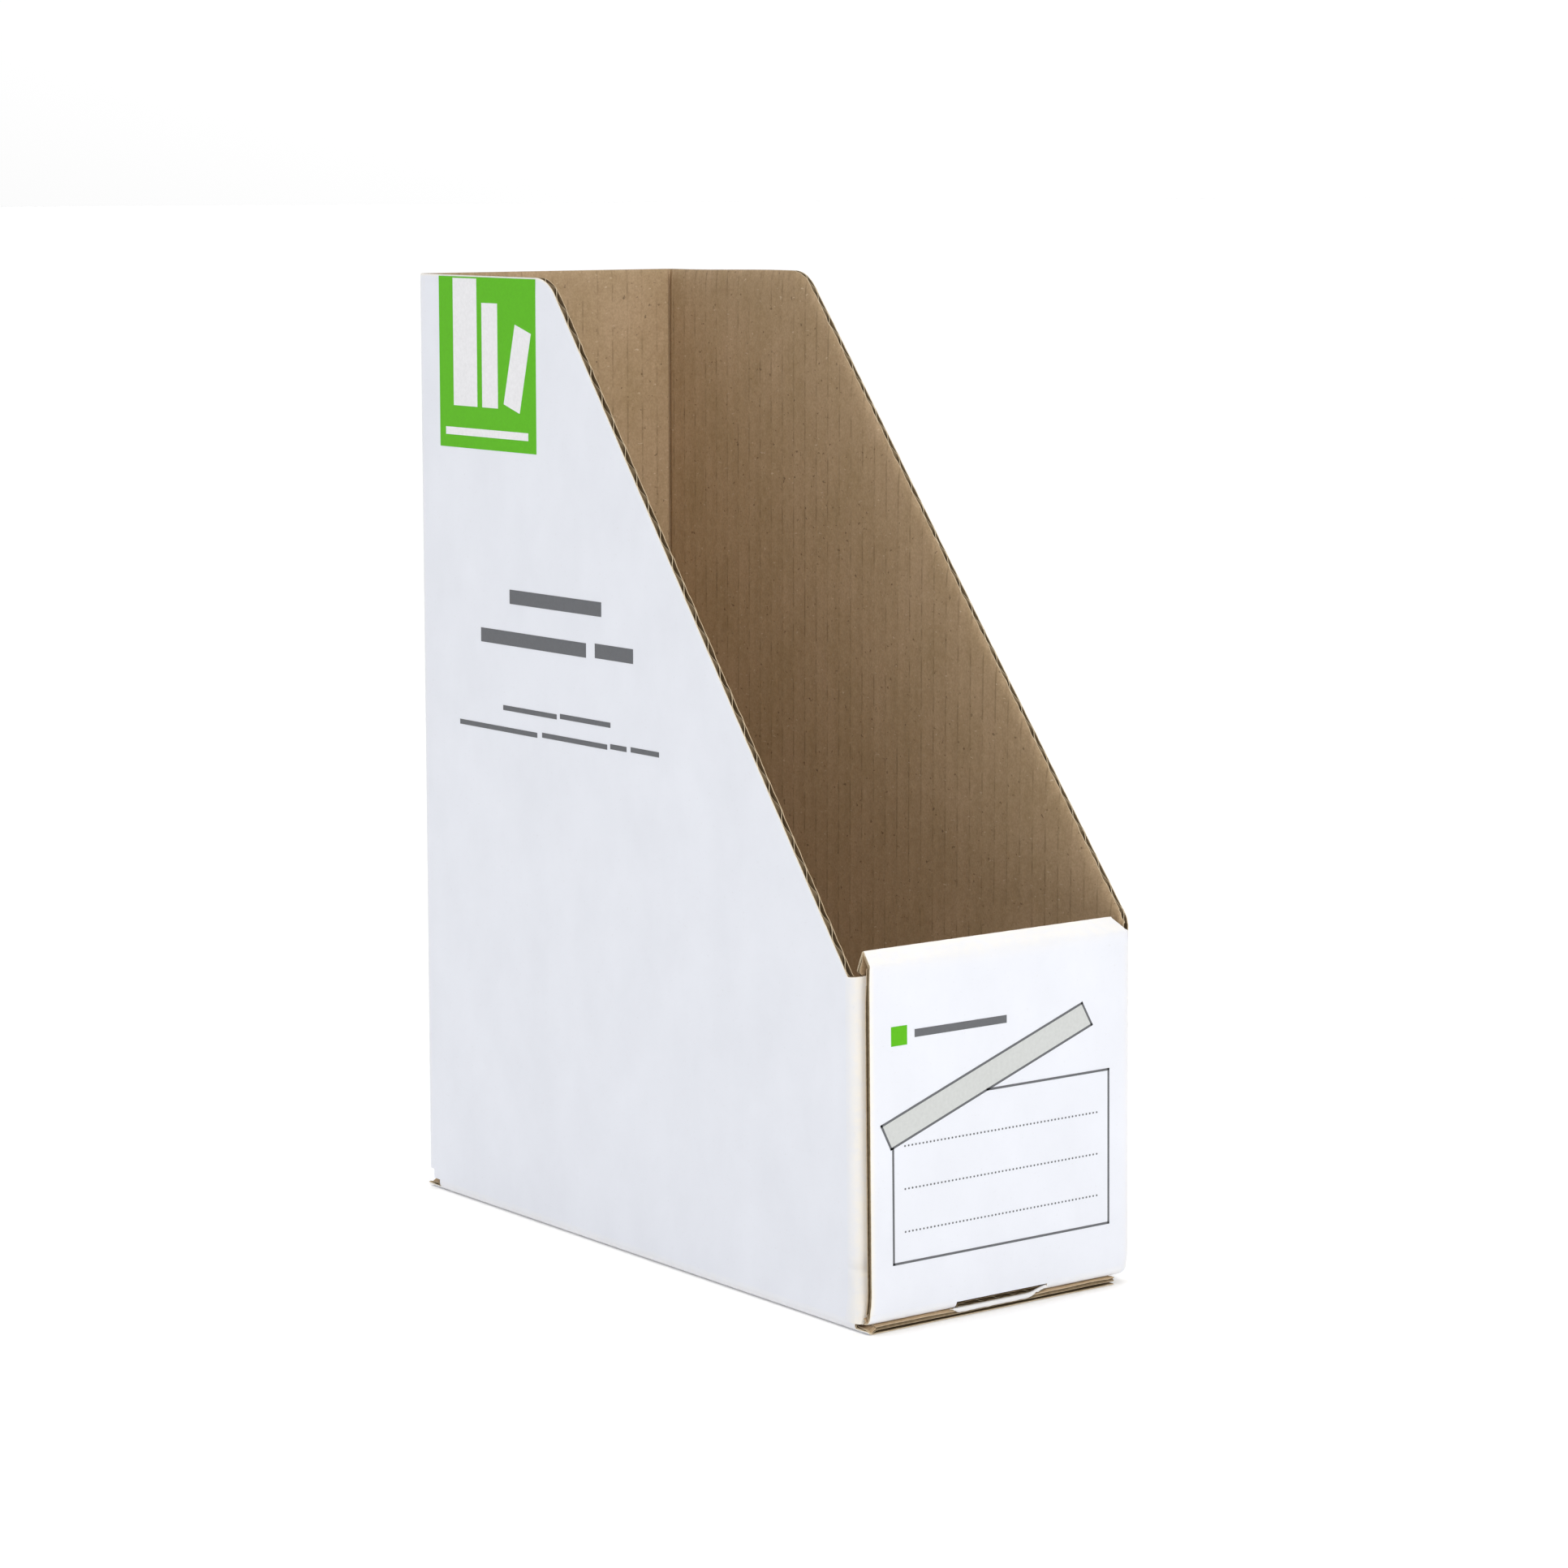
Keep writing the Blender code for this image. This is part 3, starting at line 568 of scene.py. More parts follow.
def glue_flap(paper):
    """The soft fold at the left wall's front end, and the flap glued behind the front wall."""
    free = -HALF_WIDTH + GLUE_FLAP
    start = -GLUE_CORNER - GLUE_ARC
    u = joined(
        spread(start - FLAT - SEAM_LAP, start, FLAT / 2),
        spread(start, -GLUE_CORNER, FOLD_STEP),
        spread(-GLUE_CORNER, free, FLUTE_STEP),
    )
    over = -u - GLUE_CORNER
    flap = ease((u + GLUE_CORNER) / (2 * MM))
    on_floor_fold = ease((over - SEAM_FROM) / SEAM_BLEND)
    bottom = BOTTOM_RADIUS + 0.02 * MM + 5.0 * MM * flap - SEAM_LAP * on_floor_fold
    top = LEFT_FRONT_HEIGHT + (GLUE_FLAP_TOP - LEFT_FRONT_HEIGHT) * flap
    top = top + 1.4 * MM * ease(1 - over / GLUE_ARC) * (1 - flap)
    top = top + np.maximum(over - GLUE_ARC, 0) * LEFT_SLOPE
    shares = np.concatenate([[0, 0.002, 0.005, 0.01], np.arange(0.02, 0.16, 0.02),
                             np.linspace(0.16, 0.97, 18),
                             [0.98, 0.988, 0.994, 0.998, 1.0]])
    v = bottom[:, None] + shares[None, :] * (top - bottom)[:, None]
    raised = v - bottom[:, None] + 5 * MM * on_floor_fold[:, None]
    distance = np.minimum(top[:, None] - v, raised)
    near, far = cut_edge(u[:, None], distance, 1.0, 7.0)
    thin = (BOARD - GLUE_BOARD) * (1 - ease((over[:, None] - GLUE_ARC + 4 * MM) / (4 * MM)))
    far = far - corner_groove(over[:, None] - GLUE_ARC / 2) - thin
    # Cream band down the glue fold: partly stressed coating, and partly a painted highlight where the
    # fold faces the light.
    wear_and_highlight = np.maximum(bump(over[:, None] - 5.5 * MM, 4.5 * MM), bump(distance, EDGE_WEAR))

    def place(a, b, d):
        radius = GLUE_FOOT_RADIUS + (GLUE_FOLD_RADIUS - GLUE_FOOT_RADIUS) * ease(b / GLUE_FOOT)
        longer = (2 - math.pi / 2) * (GLUE_FOLD_RADIUS - radius)
        share = np.clip((-a - GLUE_CORNER) / GLUE_ARC, 0, 1)
        around = np.minimum(a, 0) - longer * share
        along, depth = around_corner(around, d, HALF_WIDTH - radius, radius)
        return on_front(along, GLUE_DEPTH + depth, b)

    patch = Patch(
        "glue_flap", place, u[:, None], v, near, far, wear_and_highlight=wear_and_highlight, origin=(GLUE_ORIGIN, 0, 1)
    )
    rigid(patch, paper, "tube")


# The rolled-over rim
STRIP = math.hypot(PEAK_DEPTH, PEAK_RISE + PEAK_LIFT)
STRIP_LEAN = math.atan2(PEAK_DEPTH, PEAK_RISE + PEAK_LIFT)
ROLL_TURN = math.pi - INNER_LEAN - STRIP_LEAN
PEAK_TANGENT = PEAK_RADIUS * math.tan(ROLL_TURN / 2)
RIM_START = RIM_CREASE - RIM_BELOW
RIM_PART = 5.0 * MM  # blank length of each of the five parts of the way over the rim
INNER_LENGTH = 105 * MM


def heading(angle):
    """Direction of travel over the rim, from straight up (0) over the peak to straight down."""
    return np.sin(angle), np.cos(angle)


def crease_radius(u):
    """The crease at the rim is soft in the middle of the front and sharper towards its ends."""
    across = np.clip((u - FRONT_LEFT) / (STRIP_END - FRONT_LEFT), 0, 1)
    return (1.6 + 4.4 * np.sin(across * math.pi) ** 0.8) * MM


def rim_point(u, part):
    """(depth, height, heading) on the way over the rim. Its parts: the wall below the crease, the
    crease, the strip, the peak and the first stretch of the inner panel."""
    radius = crease_radius(u)
    tangent = radius * math.tan(STRIP_LEAN / 2)
    share = [np.clip(part - k, 0, 1) for k in range(5)]
    turn = share[1] * STRIP_LEAN
    roll = STRIP_LEAN + share[3] * ROLL_TURN
    straight = share[0] * (RIM_BELOW + CREASE_LIFT - tangent)
    strip = share[2] * (STRIP - tangent - PEAK_TANGENT)
    leaning = share[4] * (LEAN_RUN * 0.4 - PEAK_TANGENT)
    sine, cosine = heading(STRIP_LEAN)
    leave_sine, leave_cosine = heading(math.pi - INNER_LEAN)
    depth = (
        radius * (1 - np.cos(turn)) + strip * sine
        + PEAK_RADIUS * (math.cos(STRIP_LEAN) - np.cos(roll)) + leaning * leave_sine
    )
    height = (
        RIM_START + straight + radius * np.sin(turn) + strip * cosine
        + PEAK_RADIUS * (np.sin(roll) - math.sin(STRIP_LEAN)) + leaning * leave_cosine
    )
    return depth, height, turn + share[3] * ROLL_TURN


def rim_place(a, b, d):
    """Place on the rim, whose ends draw in: the right one on a slant, the left one a little."""
    part = (b - RIM_START) / RIM_PART
    right_share = np.clip((a - 30 * MM) / (STRIP_END - 30 * MM), 0, 1)
    left_share = np.clip((a + 30 * MM) / (FRONT_LEFT + 30 * MM), 0, 1)
    right_inset = np.interp(part, (1.3, 3.0, 4.0, 5.0), (0, 5.4, 5.0, 3.0)) * MM
    left_inset = np.interp(part, (1.0, 3.2, 5.0), (0, 0.7, 1.0)) * MM
    a = a - right_inset * right_share + left_inset * left_share
    depth, height, angle = rim_point(a, part)
    along, wrapped = around_right_corner(a, 0 * a)
    wrapped = wrapped * (1 - 0.7 * ease((part - 1) / 2))
    return on_front(along, wrapped + depth + d * np.cos(angle), height - d * np.sin(angle))


def rim_board(part):
    """Thickness of the board over the rim, crushed at both creases."""
    parts = (0, 0.7, 1.5, 2.5, 3.0, 4.0, 5.0)
    return np.interp(part, parts, (2.65, 2.3, 1.6, 1.5, 1.1, 1.1, 1.9)) * MM


def rim_patch(name, first, last, rows):
    u = joined(raw_columns(CORNER), spread(CORNER, STRIP_END, FOLD_STEP))
    part = np.linspace(first, last, rows)[None, :]
    v = RIM_START + part * RIM_PART
    raw = u[:, None] - FRONT_LEFT + 0 * part
    near, far = cut_edge(v, (u[-1] - u)[:, None] + 0 * part + 0.4 * MM, 1.0, 9.0)
    fade = ease(part)
    near = 0.3 * raw_squeeze(raw) * (1 - 0.6 * fade) + near * fade
    squeeze = raw_squeeze(raw) * (1 - 0.7 * fade)
    from_fold = u[:, None] - CORNER - ARC / 2
    groove = corner_groove(from_fold) * (1 - fade)
    far = rim_board(part) - squeeze - groove + 0.12 * MM * fade * wander(u[:, None], 5 * MM, 3)
    # Cream along the crease and over the peak: partly stressed coating, and partly a painted highlight
    # on the rim's bright strip.
    wear_and_highlight = np.maximum(bump(raw, 1.2 * MM) * (1 - 0.3 * fade), 0.9 * bump(part - 3.4, 0.9))
    wear_and_highlight = np.maximum(wear_and_highlight, 0.5 * bump(from_fold, 2.2 * MM) * (1 - fade))
    wear_and_highlight = np.maximum(wear_and_highlight, 0.55 * bump(part - 2.2, 1.0))
    return Patch(name, rim_place, u[:, None], v, near, far, wear_and_highlight=wear_and_highlight)


def rim(paper):
    crease = rim_patch("rim_crease", 0.0, 2.2, 23)
    bending(crease, paper)
    rigid(rim_patch("rim_strip", 2.2, 2.8, 4), paper, "rim")
    fold = rim_patch("rim_peak", 2.8, 5.0, 25)
    bending(fold, paper)


def inner_panel(paper):
    """The rolled-over panel, bowed between the rim and the bottom."""
    peak = np.array([PEAK_DEPTH, RIM_CREASE + CREASE_LIFT + PEAK_RISE + PEAK_LIFT])
    leaving = np.array(heading(math.pi - INNER_LEAN))
    start = peak + leaving * LEAN_RUN * 0.4
    bottom = np.array([INNER_FACE, INNER_BOTTOM])
    pulls = (start, start + leaving * 18 * MM, bottom + np.array([1.8, 45]) * MM, bottom)

    def place(a, b, d):
        share = b / INNER_LENGTH
        rest = 1 - share
        weights = (rest ** 3, 3 * rest ** 2 * share, 3 * rest * share ** 2, share ** 3)
        slopes = (3 * rest ** 2, 6 * rest * share, 3 * share ** 2)
        depth = sum(w * p[0] for w, p in zip(weights, pulls))
        height = sum(w * p[1] for w, p in zip(weights, pulls))
        run = sum(s * (pulls[i + 1][0] - pulls[i][0]) for i, s in enumerate(slopes))
        fall = sum(s * (pulls[i + 1][1] - pulls[i][1]) for i, s in enumerate(slopes))
        size = np.hypot(run, fall)
        overhang = (-FRONT_LEFT - MM) / INNER_RIGHT - 1
        widened = a * (1 + overhang * (a < 0) * (1 - ease((b - INNER_NARROWS) / (0.9 * MM))))
        return on_front(widened, depth + d * fall / size, height - d * run / size)

    u = raw_columns(INNER_RIGHT, -INNER_RIGHT)
    part = np.concatenate([
        np.linspace(0, 0.06, 9), np.linspace(0.09, 0.95, 28), [0.965, 0.98, 0.99, 1.0]
    ])[None, :]
    run = part * INNER_LENGTH
    distance = np.minimum(from_sides(u), INNER_LENGTH - run)
    near, far = cut_edge(run, distance, 1.0, 11.0)
    far = far - BOARD + np.interp(part, [0, 0.06, 0.14], [1.9 * MM, 2.6 * MM, BOARD])
    origin = (0, RIM_START + 5 * RIM_PART, 1)
    wear_and_highlight = bump(distance, 0.8 * MM)
    patch = Patch("inner_panel", place, u[:, None], run, near, far, wear_and_highlight=wear_and_highlight, origin=origin)
    rigid(patch, paper, "rolled_panel")


def lock_tab(paper):
    """The tab bends forward at the inner panel's lower edge; its crosscut end fills the slot."""
    bend = INNER_BOTTOM - TAB_LEVEL
    arc = bend * math.pi / 2
    flat = INNER_FACE - bend - TAB_TIP
    u = spread(TAB_LEFT, TAB_RIGHT, FOLD_STEP)
    ends = arc + np.array([0.8, 1.8, 2.8, 3.6, 4.1, 4.5, flat / MM]) * MM
    run = joined(spread(0, arc, 0.6 * MM), ends)[None, :]

    def place(a, b, d):
        turn = np.clip(b / bend, 0, math.pi / 2)
        forward = np.maximum(b - arc, 0)
        inside = bend - d
        depth = INNER_FACE - bend + inside * np.cos(turn) - forward
        return on_front(a, depth, INNER_BOTTOM - inside * np.sin(turn))

    sides = from_sides(u) + 0 * run
    near, far = cut_edge(u[:, None], sides, 1.0, 13.0, TAB_BOARD)
    origin = (0, RIM_START + 5 * RIM_PART + INNER_LENGTH, 1)
    patch = Patch(
        "lock_tab", place, u[:, None], run, near, far, wear_and_highlight=bump(sides, MM), origin=origin
    )
    rigid(patch, paper, "rolled_panel")


# Bottom
def fold_groove(run, radius):
    """How much thinner the board is through a bottom fold, where the bend crushes it."""
    half = radius * math.pi / 4
    return (BOARD - FOLD_CRUSHED) * bump(run - half, half + 0.9 * MM)


class BottomFold:
    """A bottom fold and its flap, in a wall's own frame."""

    def __init__(self, name, wall, body, underside, radius, across):
        self.name = name
        self.wall = wall
        self.body = body
        self.underside = underside
        self.radius = radius
        self.origin = (across, underside + radius, -1)
        self.arc = radius * math.pi / 2

    def place(self, a, b, d):
        depth, height = around_bottom(b, d, self.underside, self.radius)
        return self.wall(a, depth, height)

    def fold(self, paper, u, flat_half, keep_extra=None, seed=0.0, cut_right=True):
        """The bend, with flat board on both sides; the wall's side keeps to the wall's width."""
        run = joined(
            np.linspace(-FLAT, 0, 3), np.linspace(0, self.arc, 13),
            np.linspace(self.arc, self.arc + FLAT, 3),
        )
        column, row = (u[1:] + u[:-1]) / 2, (run[1:] + run[:-1]) / 2
        keep = (row > 0)[None, :] | (
            (column > flat_half[0]) & (column < flat_half[1])
        )[:, None]
        if keep_extra is not None:
            keep &= keep_extra(column[:, None], row[None, :])
        from_right = u[-1] - u if cut_right else 1.0 + 0 * u
        distance = np.minimum(u - u[0], from_right)[:, None] + 0 * run[None, :]
        near, far = cut_edge(run[None, :], distance, 1.0, seed)
        far = far - fold_groove(run, self.radius)[None, :]
        wear_and_highlight = 0.35 * bump(run - self.arc / 2, self.radius)[None, :] + 0 * u[:, None]
        patch = Patch(
            f"{self.name}_fold", self.place, u[:, None], run[None, :], near, far, keep,
            np.maximum(wear_and_highlight, bump(distance, 0.8 * MM)), self.origin,
        )
        start = Vector(self.wall(0.0, 0.0, self.underside + self.radius))
        end = Vector(self.wall(0.0, self.radius, self.underside))
        bending(patch, paper)

    def flap(self, name, u, length, half=None, seed=0.0):
        """The flap beyond its fold. Where half is given, its corners are cut at 45 degrees."""
        start = self.arc + FLAT
        end = self.arc + length - self.radius
        run = joined(
            spread(start, end - 4 * MM, 6 * MM),
            end - np.array([4, 2.5, 1.6, 0.9, 0.45, 0.15, 0]) * MM,
        )[None, :]
        depth = run - self.arc + self.radius
        across = u[:, None] + 0 * run
        distance = end - run + 0 * across
        if half is not None:
            limit = half - MM - depth
            across = across * np.minimum(1, limit / np.abs(u).max())
        distance = np.minimum(distance, from_sides(u))
        near, far = cut_edge(across + run, distance, 1.0, seed)
        return Patch(
            name, self.place, across, run, near, far, wear_and_highlight=bump(distance, 0.7 * MM),
            origin=self.origin,
        )


def floor_panel(paper):
    bottom = BottomFold("floor", on_left, "floor", 0.0, BOTTOM_RADIUS, LEFT_ORIGIN)
    u = joined(
        raw_columns(FLOOR_REACH - RAW_REACH, -FLOOR_REACH), FLOOR_REACH - RAW_ENDS[::-1]
    )
    wall = (-SIDE_REACH + FLAT, LEFT_FRONT_END - FLAT)
    front_relief, back_relief = HALF_DEPTH - 6.1 * MM, HALF_DEPTH - 8.5 * MM

    def keep(column, row):
        return ((column < front_relief) & (-column < back_relief)) | (row > 1.6 * MM)

    bottom.fold(paper, u, wall, keep, 15.0)
    rigid(bottom.flap("floor_panel", u, FLOOR_END, seed=16.0), paper, "floor")


def side_flaps(paper):
    for name, wall, body, half, length, across in (
        ("back", on_back, "back_floor_flap", HALF_WIDTH, SHORT_FLAP, BACK_ORIGIN),
        ("right", on_right, "right_floor_flap", HALF_DEPTH, SIDE_FLAP, RIGHT_ORIGIN),
    ):
        reach = half - FOLD_RADIUS - FLAT
        bottom = BottomFold(name, wall, body, FLAP_LEVEL, BOTTOM_RADIUS, across)
        u = spread(-reach, reach, FLUTE_STEP)
        bottom.fold(paper, u, (-half, half), None, 17.0)
        rigid(bottom.flap(f"{name}_flap", u, length, half, 18.0), paper, body)


def front_flap(paper):
    """The front's fold with its slot, and the flap behind it."""
    bottom = BottomFold(
        "front", on_front, "front_floor_flap", FRONT_FOLD_LEVEL, FRONT_FOLD_RADIUS, 0.0
    )
    u = joined(
        raw_columns(SLOT_LEFT), spread(SLOT_LEFT, SLOT_RIGHT, FLUTE_STEP),
        spread(SLOT_RIGHT, CORNER - 0.02 * MM, FLUTE_STEP),
    )

    def outside_slot(column, row):
        return ~((column > SLOT_LEFT) & (column < SLOT_RIGHT) & (row > -FLAT))

    bottom.fold(paper, u, (FRONT_LEFT - MM, CORNER), outside_slot, 19.0, False)
    patch = bottom.flap("front_flap", u, SHORT_FLAP, HALF_WIDTH, 20.0)
    column = (u[1:] + u[:-1])[:, None] / 2
    depth = (patch.v[0] - bottom.arc + bottom.radius)[None, :]
    row_depth = (depth[:, 1:] + depth[:, :-1]) / 2
    inside = (column > SLOT_LEFT) & (column < SLOT_RIGHT) & (row_depth < SLOT_DEPTH - MM)
    patch.keep = ~inside
    rigid(patch, paper, "front_floor_flap")


def slot_lip(paper):
    """The flap's tongue, pushed forward under the tab and over the floor's raw edge. Its profile
    runs from behind the tab over the lip's brow down to its lower edge."""
    u = spread(SLOT_LEFT - 2.0 * MM, SLOT_RIGHT + 0.6 * MM, 0.5 * MM)[:, None]
    start, end = u[0, 0], u[-1, 0]
    left_taper = ease((u - start) / (3.5 * MM))
    right_taper = ease((end - u) / (9 * MM))
    brow = (3.0 + 0.25 * left_taper + 1.6 * (1 - right_taper)) * MM
    foot = (3.0 - 1.35 * left_taper + 1.9 * (1 - right_taper)) * MM
    notch = bump(u - SLOT_RIGHT + 4.2 * MM, 0.6 * MM)
    foot = foot + 0.5 * MM * notch + 0.08 * MM * wander(u, 3 * MM, 2)
    out = 0.75 * MM * np.minimum(left_taper, right_taper)
    share = np.array([0, 0, 0, 0.02, 0.1, 0.25, 0.45, 0.65, 0.85, 1.0])[None, :]
    behind = np.array([8.5, 3.0, 1.2, 0.5, 0.12, 0, 0, 0.03, 0.12, 0.35])[None, :] * MM
    lean = np.array([0, 0, 0, 0.35, 0.75, 0.95, 1.0, 0.95, 0.85, 0.7])[None, :]
    y = FRONT_FACE + behind - out * lean + 0.25 * MM * (behind < MM)
    z = brow - share * (brow - foot) - 0.3 * MM * (share == 0)
    run_y, run_z = np.gradient(y, axis=1), np.gradient(z, axis=1)
    size = np.hypot(run_y, run_z)
    x = u + 0 * y
    outer = np.stack(settled(x, y, z), -1)
    inward, upward = -run_z / size * LIP_THICK, run_y / size * LIP_THICK
    inner = np.stack(settled(x, y + inward, z + upward), -1)
    flat = np.stack([x, z, 0 * z], -1)
    piece = slab(
        "slot_lip", inner, outer, None, (paper["raw"], paper["white"], paper["white_edge"]),
        (flat, flat), 0.5 + 0 * y,
    )
    start = Vector(on_front(0.0, 0.0, FRONT_BEND))
    end = Vector(on_front(0.0, FRONT_FOLD_RADIUS, FRONT_FOLD_LEVEL))
    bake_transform(piece)


# Prints
INK = 0.05 * MM


def prism(points, place):
    """Vertices and faces of an outline in (along, height), raised from a wall as a film of ink."""
    corners = [place(a, depth, h) for depth in (-INK, 0.02 * MM) for a, h in points]
    n = len(points)
    faces = [tuple(range(n)), tuple(range(2 * n - 1, n - 1, -1))]
    faces += [(i, n + i, n + (i + 1) % n, (i + 1) % n) for i in range(n)]
    return corners, faces


def print_piece(name, outlines, place, material):
    corners, faces = [], []
    for shape in outlines:
        more, sides = prism(shape, place)
        faces += [tuple(i + len(corners) for i in side) for side in sides]
        corners += more
    mesh = bpy.data.meshes.new(name)
    mesh.from_pydata(corners, [], faces)
    mesh.materials.append(material)
    mesh.update()
    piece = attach(link(name, mesh), "tube")
    return piece


def stroke(a, b, width):
    """A straight printed line from a to b."""
    start, end = np.array(a), np.array(b)
    way = (end - start) / np.linalg.norm(end - start)
    side = np.array([way[1], -way[0]]) * width / 2
    start, end = start - way * width / 2, end + way * width / 2
    return [tuple(p) for p in (start + side, end + side, end - side, start - side)]


def disc(centre, radius, sides=12):
    return [
        (centre[0] + radius * math.cos(2 * math.pi * i / sides),
         centre[1] + radius * math.sin(2 * math.pi * i / sides))
        for i in range(sides)
    ]


def millimetres(*values):
    return tuple(v * MM for v in values)


LINE = 0.75 * MM
TITLE_BAR, SMALL_BAR = 4.8, 1.7  # heights in millimetres of the bars for the wording


def outline(*points):
    """Corner points given in millimetres, in metres."""
    return [millimetres(*point) for point in points]


def box_outline(left, bottom, right, top):
    return outline((left, bottom), (right, bottom), (right, top), (left, top))


def front_prints(inks):
    """A label box with dotted writing lines, a tilted bar above it and a small plain emblem."""
    left, bottom, right, top = millimetres(-44.7, 21.1, 43.5, 71.4)
    bar = outline((-45.4, 57.7), (36.4, 86.8), (32.3, 94.2), (-49.2, 65.4))
    slope = (bar[1][1] - bar[0][1]) / (bar[1][0] - bar[0][0])
    under_bar = bar[0][0] + (top - bar[0][1]) / slope
    frame_lines = [
        stroke((left, bottom), (right, bottom), LINE),
        stroke((right, bottom), (right, top), LINE),
        stroke((right, top), (under_bar, top), LINE),
        stroke((left, bottom), (left, bar[0][1]), LINE),
    ]
    bar_lines = [stroke(bar[i], bar[(i + 1) % 4], LINE) for i in range(4)]
    print_piece("label_print", frame_lines + bar_lines, on_front, inks["dark"])
    print_piece("label_bar_print", [bar], on_front_low, inks["pale"])
    dots = [
        disc((x, z * MM), 0.33 * MM, 8)
        for z in (58.0, 44.4, 30.8) for x in np.linspace(-40.0 * MM, 38.5 * MM, 55)
    ]
    print_piece("writing_lines_print", dots, on_front, inks["dark"])
    print_piece(
        "front_emblem_print", [box_outline(-45.2, 89.8, -38.9, 95.9)], on_front, inks["green"],
    )
    print_piece(
        "front_name_bar_print", [box_outline(-35.9, 91.7, 1.1, 94.2)], on_front, inks["dark"],
    )


def on_front_low(along, depth, height):
    return on_front(along, depth * 0.6, height)


def side_prints(inks):
    """A green block with three plain bars, and grey bars where the wording would be."""
    def toward_front(y, depth, height):
        return on_left(MIDDLE + y, depth, height)

    def raised(y, depth, height):
        return toward_front(y, depth * 2, height)

    block = box_outline(-111.2, 261.8, -52.8, 319.5)
    print_piece("side_block_print", [block], toward_front, inks["green"])
    bars = [
        box_outline(-102.5, 276.0, -88.0, 319.0),
        box_outline(-85.0, 276.0, -75.5, 311.0),
        outline((-72.0, 277.6), (-62.5, 274.8), (-55.5, 301.5), (-65.0, 304.3)),
        box_outline(-107.5, 266.0, -57.5, 268.6),
    ]
    print_piece("side_emblem_print", bars, raised, inks["white"])
    title = ((-69.6, -15.9, 210.8), (-87.2, -24.8, 196.6), (-19.7, 1.9, 197.0))
    small = (
        (-74.1, -42.1, 174.4), (-40.2, -11.1, 174.8), (-100.8, -53.7, 167.0),
        (-50.8, -13.0, 167.4), (-11.2, -2.0, 167.8), (0.3, 16.1, 168.0),
    )
    lines = [box_outline(a, z, b, z + TITLE_BAR) for a, b, z in title]
    lines += [box_outline(a, z, b, z + SMALL_BAR) for a, b, z in small]
    print_piece("side_wording_bars_print", lines, toward_front, inks["dark"])


# Materials
def srgb(red, green, blue):
    """Linear colour of an everyday 0-255 one."""
    def linear(value):
        share = value / 255
        return share / 12.92 if share <= 0.04045 else ((share + 0.055) / 1.055) ** 2.4
    return (linear(red), linear(green), linear(blue), 1.0)


def node(tree, kind, inputs=None, **settings):
    """Add a shader node. Each input is a socket to link or a value to keep."""
    made = tree.nodes.new(kind)
    for key, value in settings.items():
        setattr(made, key, value)
    for socket, value in (inputs or {}).items():
        if isinstance(value, bpy.types.NodeSocket):
            tree.links.new(value, made.inputs[socket])
        else:
            made.inputs[socket].default_value = value
    return made


class Paint:
    """A material's node graph, put together in small steps."""

    def __init__(self, name, roughness):
        self.material = bpy.data.materials.new(name)
        self.material.use_nodes = True
        self.tree = self.material.node_tree
        self.shader = self.tree.nodes["Principled BSDF"]
        self.shader.inputs["Roughness"].default_value = roughness
        self.board = self.node("ShaderNodeAttribute", attribute_name="board").outputs["Vector"]
        self.wear_and_highlight = self.node("ShaderNodeAttribute", attribute_name="wear_and_highlight").outputs["Fac"]

    def node(self, kind, inputs=None, **settings):
        return node(self.tree, kind, inputs, **settings)

    def maths(self, operation, first, second=0.0):
        made = self.node("ShaderNodeMath", {0: first, 1: second}, operation=operation)
        return made.outputs[0]

    def noise(self, across, along, detail=3.0, roughness=0.55):
        """Noise with its own number of features per metre across and along the flutes."""
        inputs = {0: self.board, 1: (across, along, 400.0)}
        place = self.node("ShaderNodeVectorMath", inputs, operation="MULTIPLY").outputs[0]
        inputs = {"Vector": place, "Scale": 1.0, "Detail": detail, "Roughness": roughness}
        return self.node("ShaderNodeTexNoise", inputs).outputs["Fac"]

    def object_noise(self, scale, **more):
        place = self.node("ShaderNodeTexCoord").outputs["Object"]
        inputs = {"Vector": place, "Scale": scale, **more}
        return self.node("ShaderNodeTexNoise", inputs).outputs["Fac"]

    def remap(self, value, low, high, to_low=0.0, to_high=1.0):
        inputs = {0: value, 1: low, 2: high, 3: to_low, 4: to_high}
        return self.node("ShaderNodeMapRange", inputs).outputs[0]

    def mix(self, share, first, second):
        inputs = {0: share, 6: first, 7: second}
        return self.node("ShaderNodeMix", inputs, data_type="RGBA").outputs[2]

    def blotches(self, low, high, *noise):
        """Noise as patches: 0 below low, 1 above high."""
        return self.remap(self.noise(*noise), low, high)

    def tint(self, colour, share, amount, tone):
        """Mix a tone into a colour, at most by the amount."""
        return self.mix(self.maths("MULTIPLY", share, amount), colour, srgb(*tone))

    def flute_lines(self, sharpness):
        """1 on the lines where the flutes' tips touch the liner, fading between them."""
        u = self.node("ShaderNodeSeparateXYZ", {0: self.board}).outputs[0]
        from_first = self.maths("SUBTRACT", u, FIRST_FLUTE)
        cosine = self.maths("COSINE", self.maths("MULTIPLY", from_first, 2 * math.pi / FLUTE_PITCH))
        share = self.remap(cosine, -1.0, 1.0)
        return self.maths("POWER", share, sharpness)

    def finish(self, colour, height=None, strength=0.3, distance=0.05 * MM, specular=0.35):
        self.tree.links.new(colour, self.shader.inputs["Base Color"])
        self.shader.inputs["Specular IOR Level"].default_value = specular
        if height is not None:
            inputs = {"Strength": strength, "Distance": distance, "Height": height}
            raised = self.node("ShaderNodeBump", inputs).outputs[0]
            self.tree.links.new(raised, self.shader.inputs["Normal"])
        return self.material


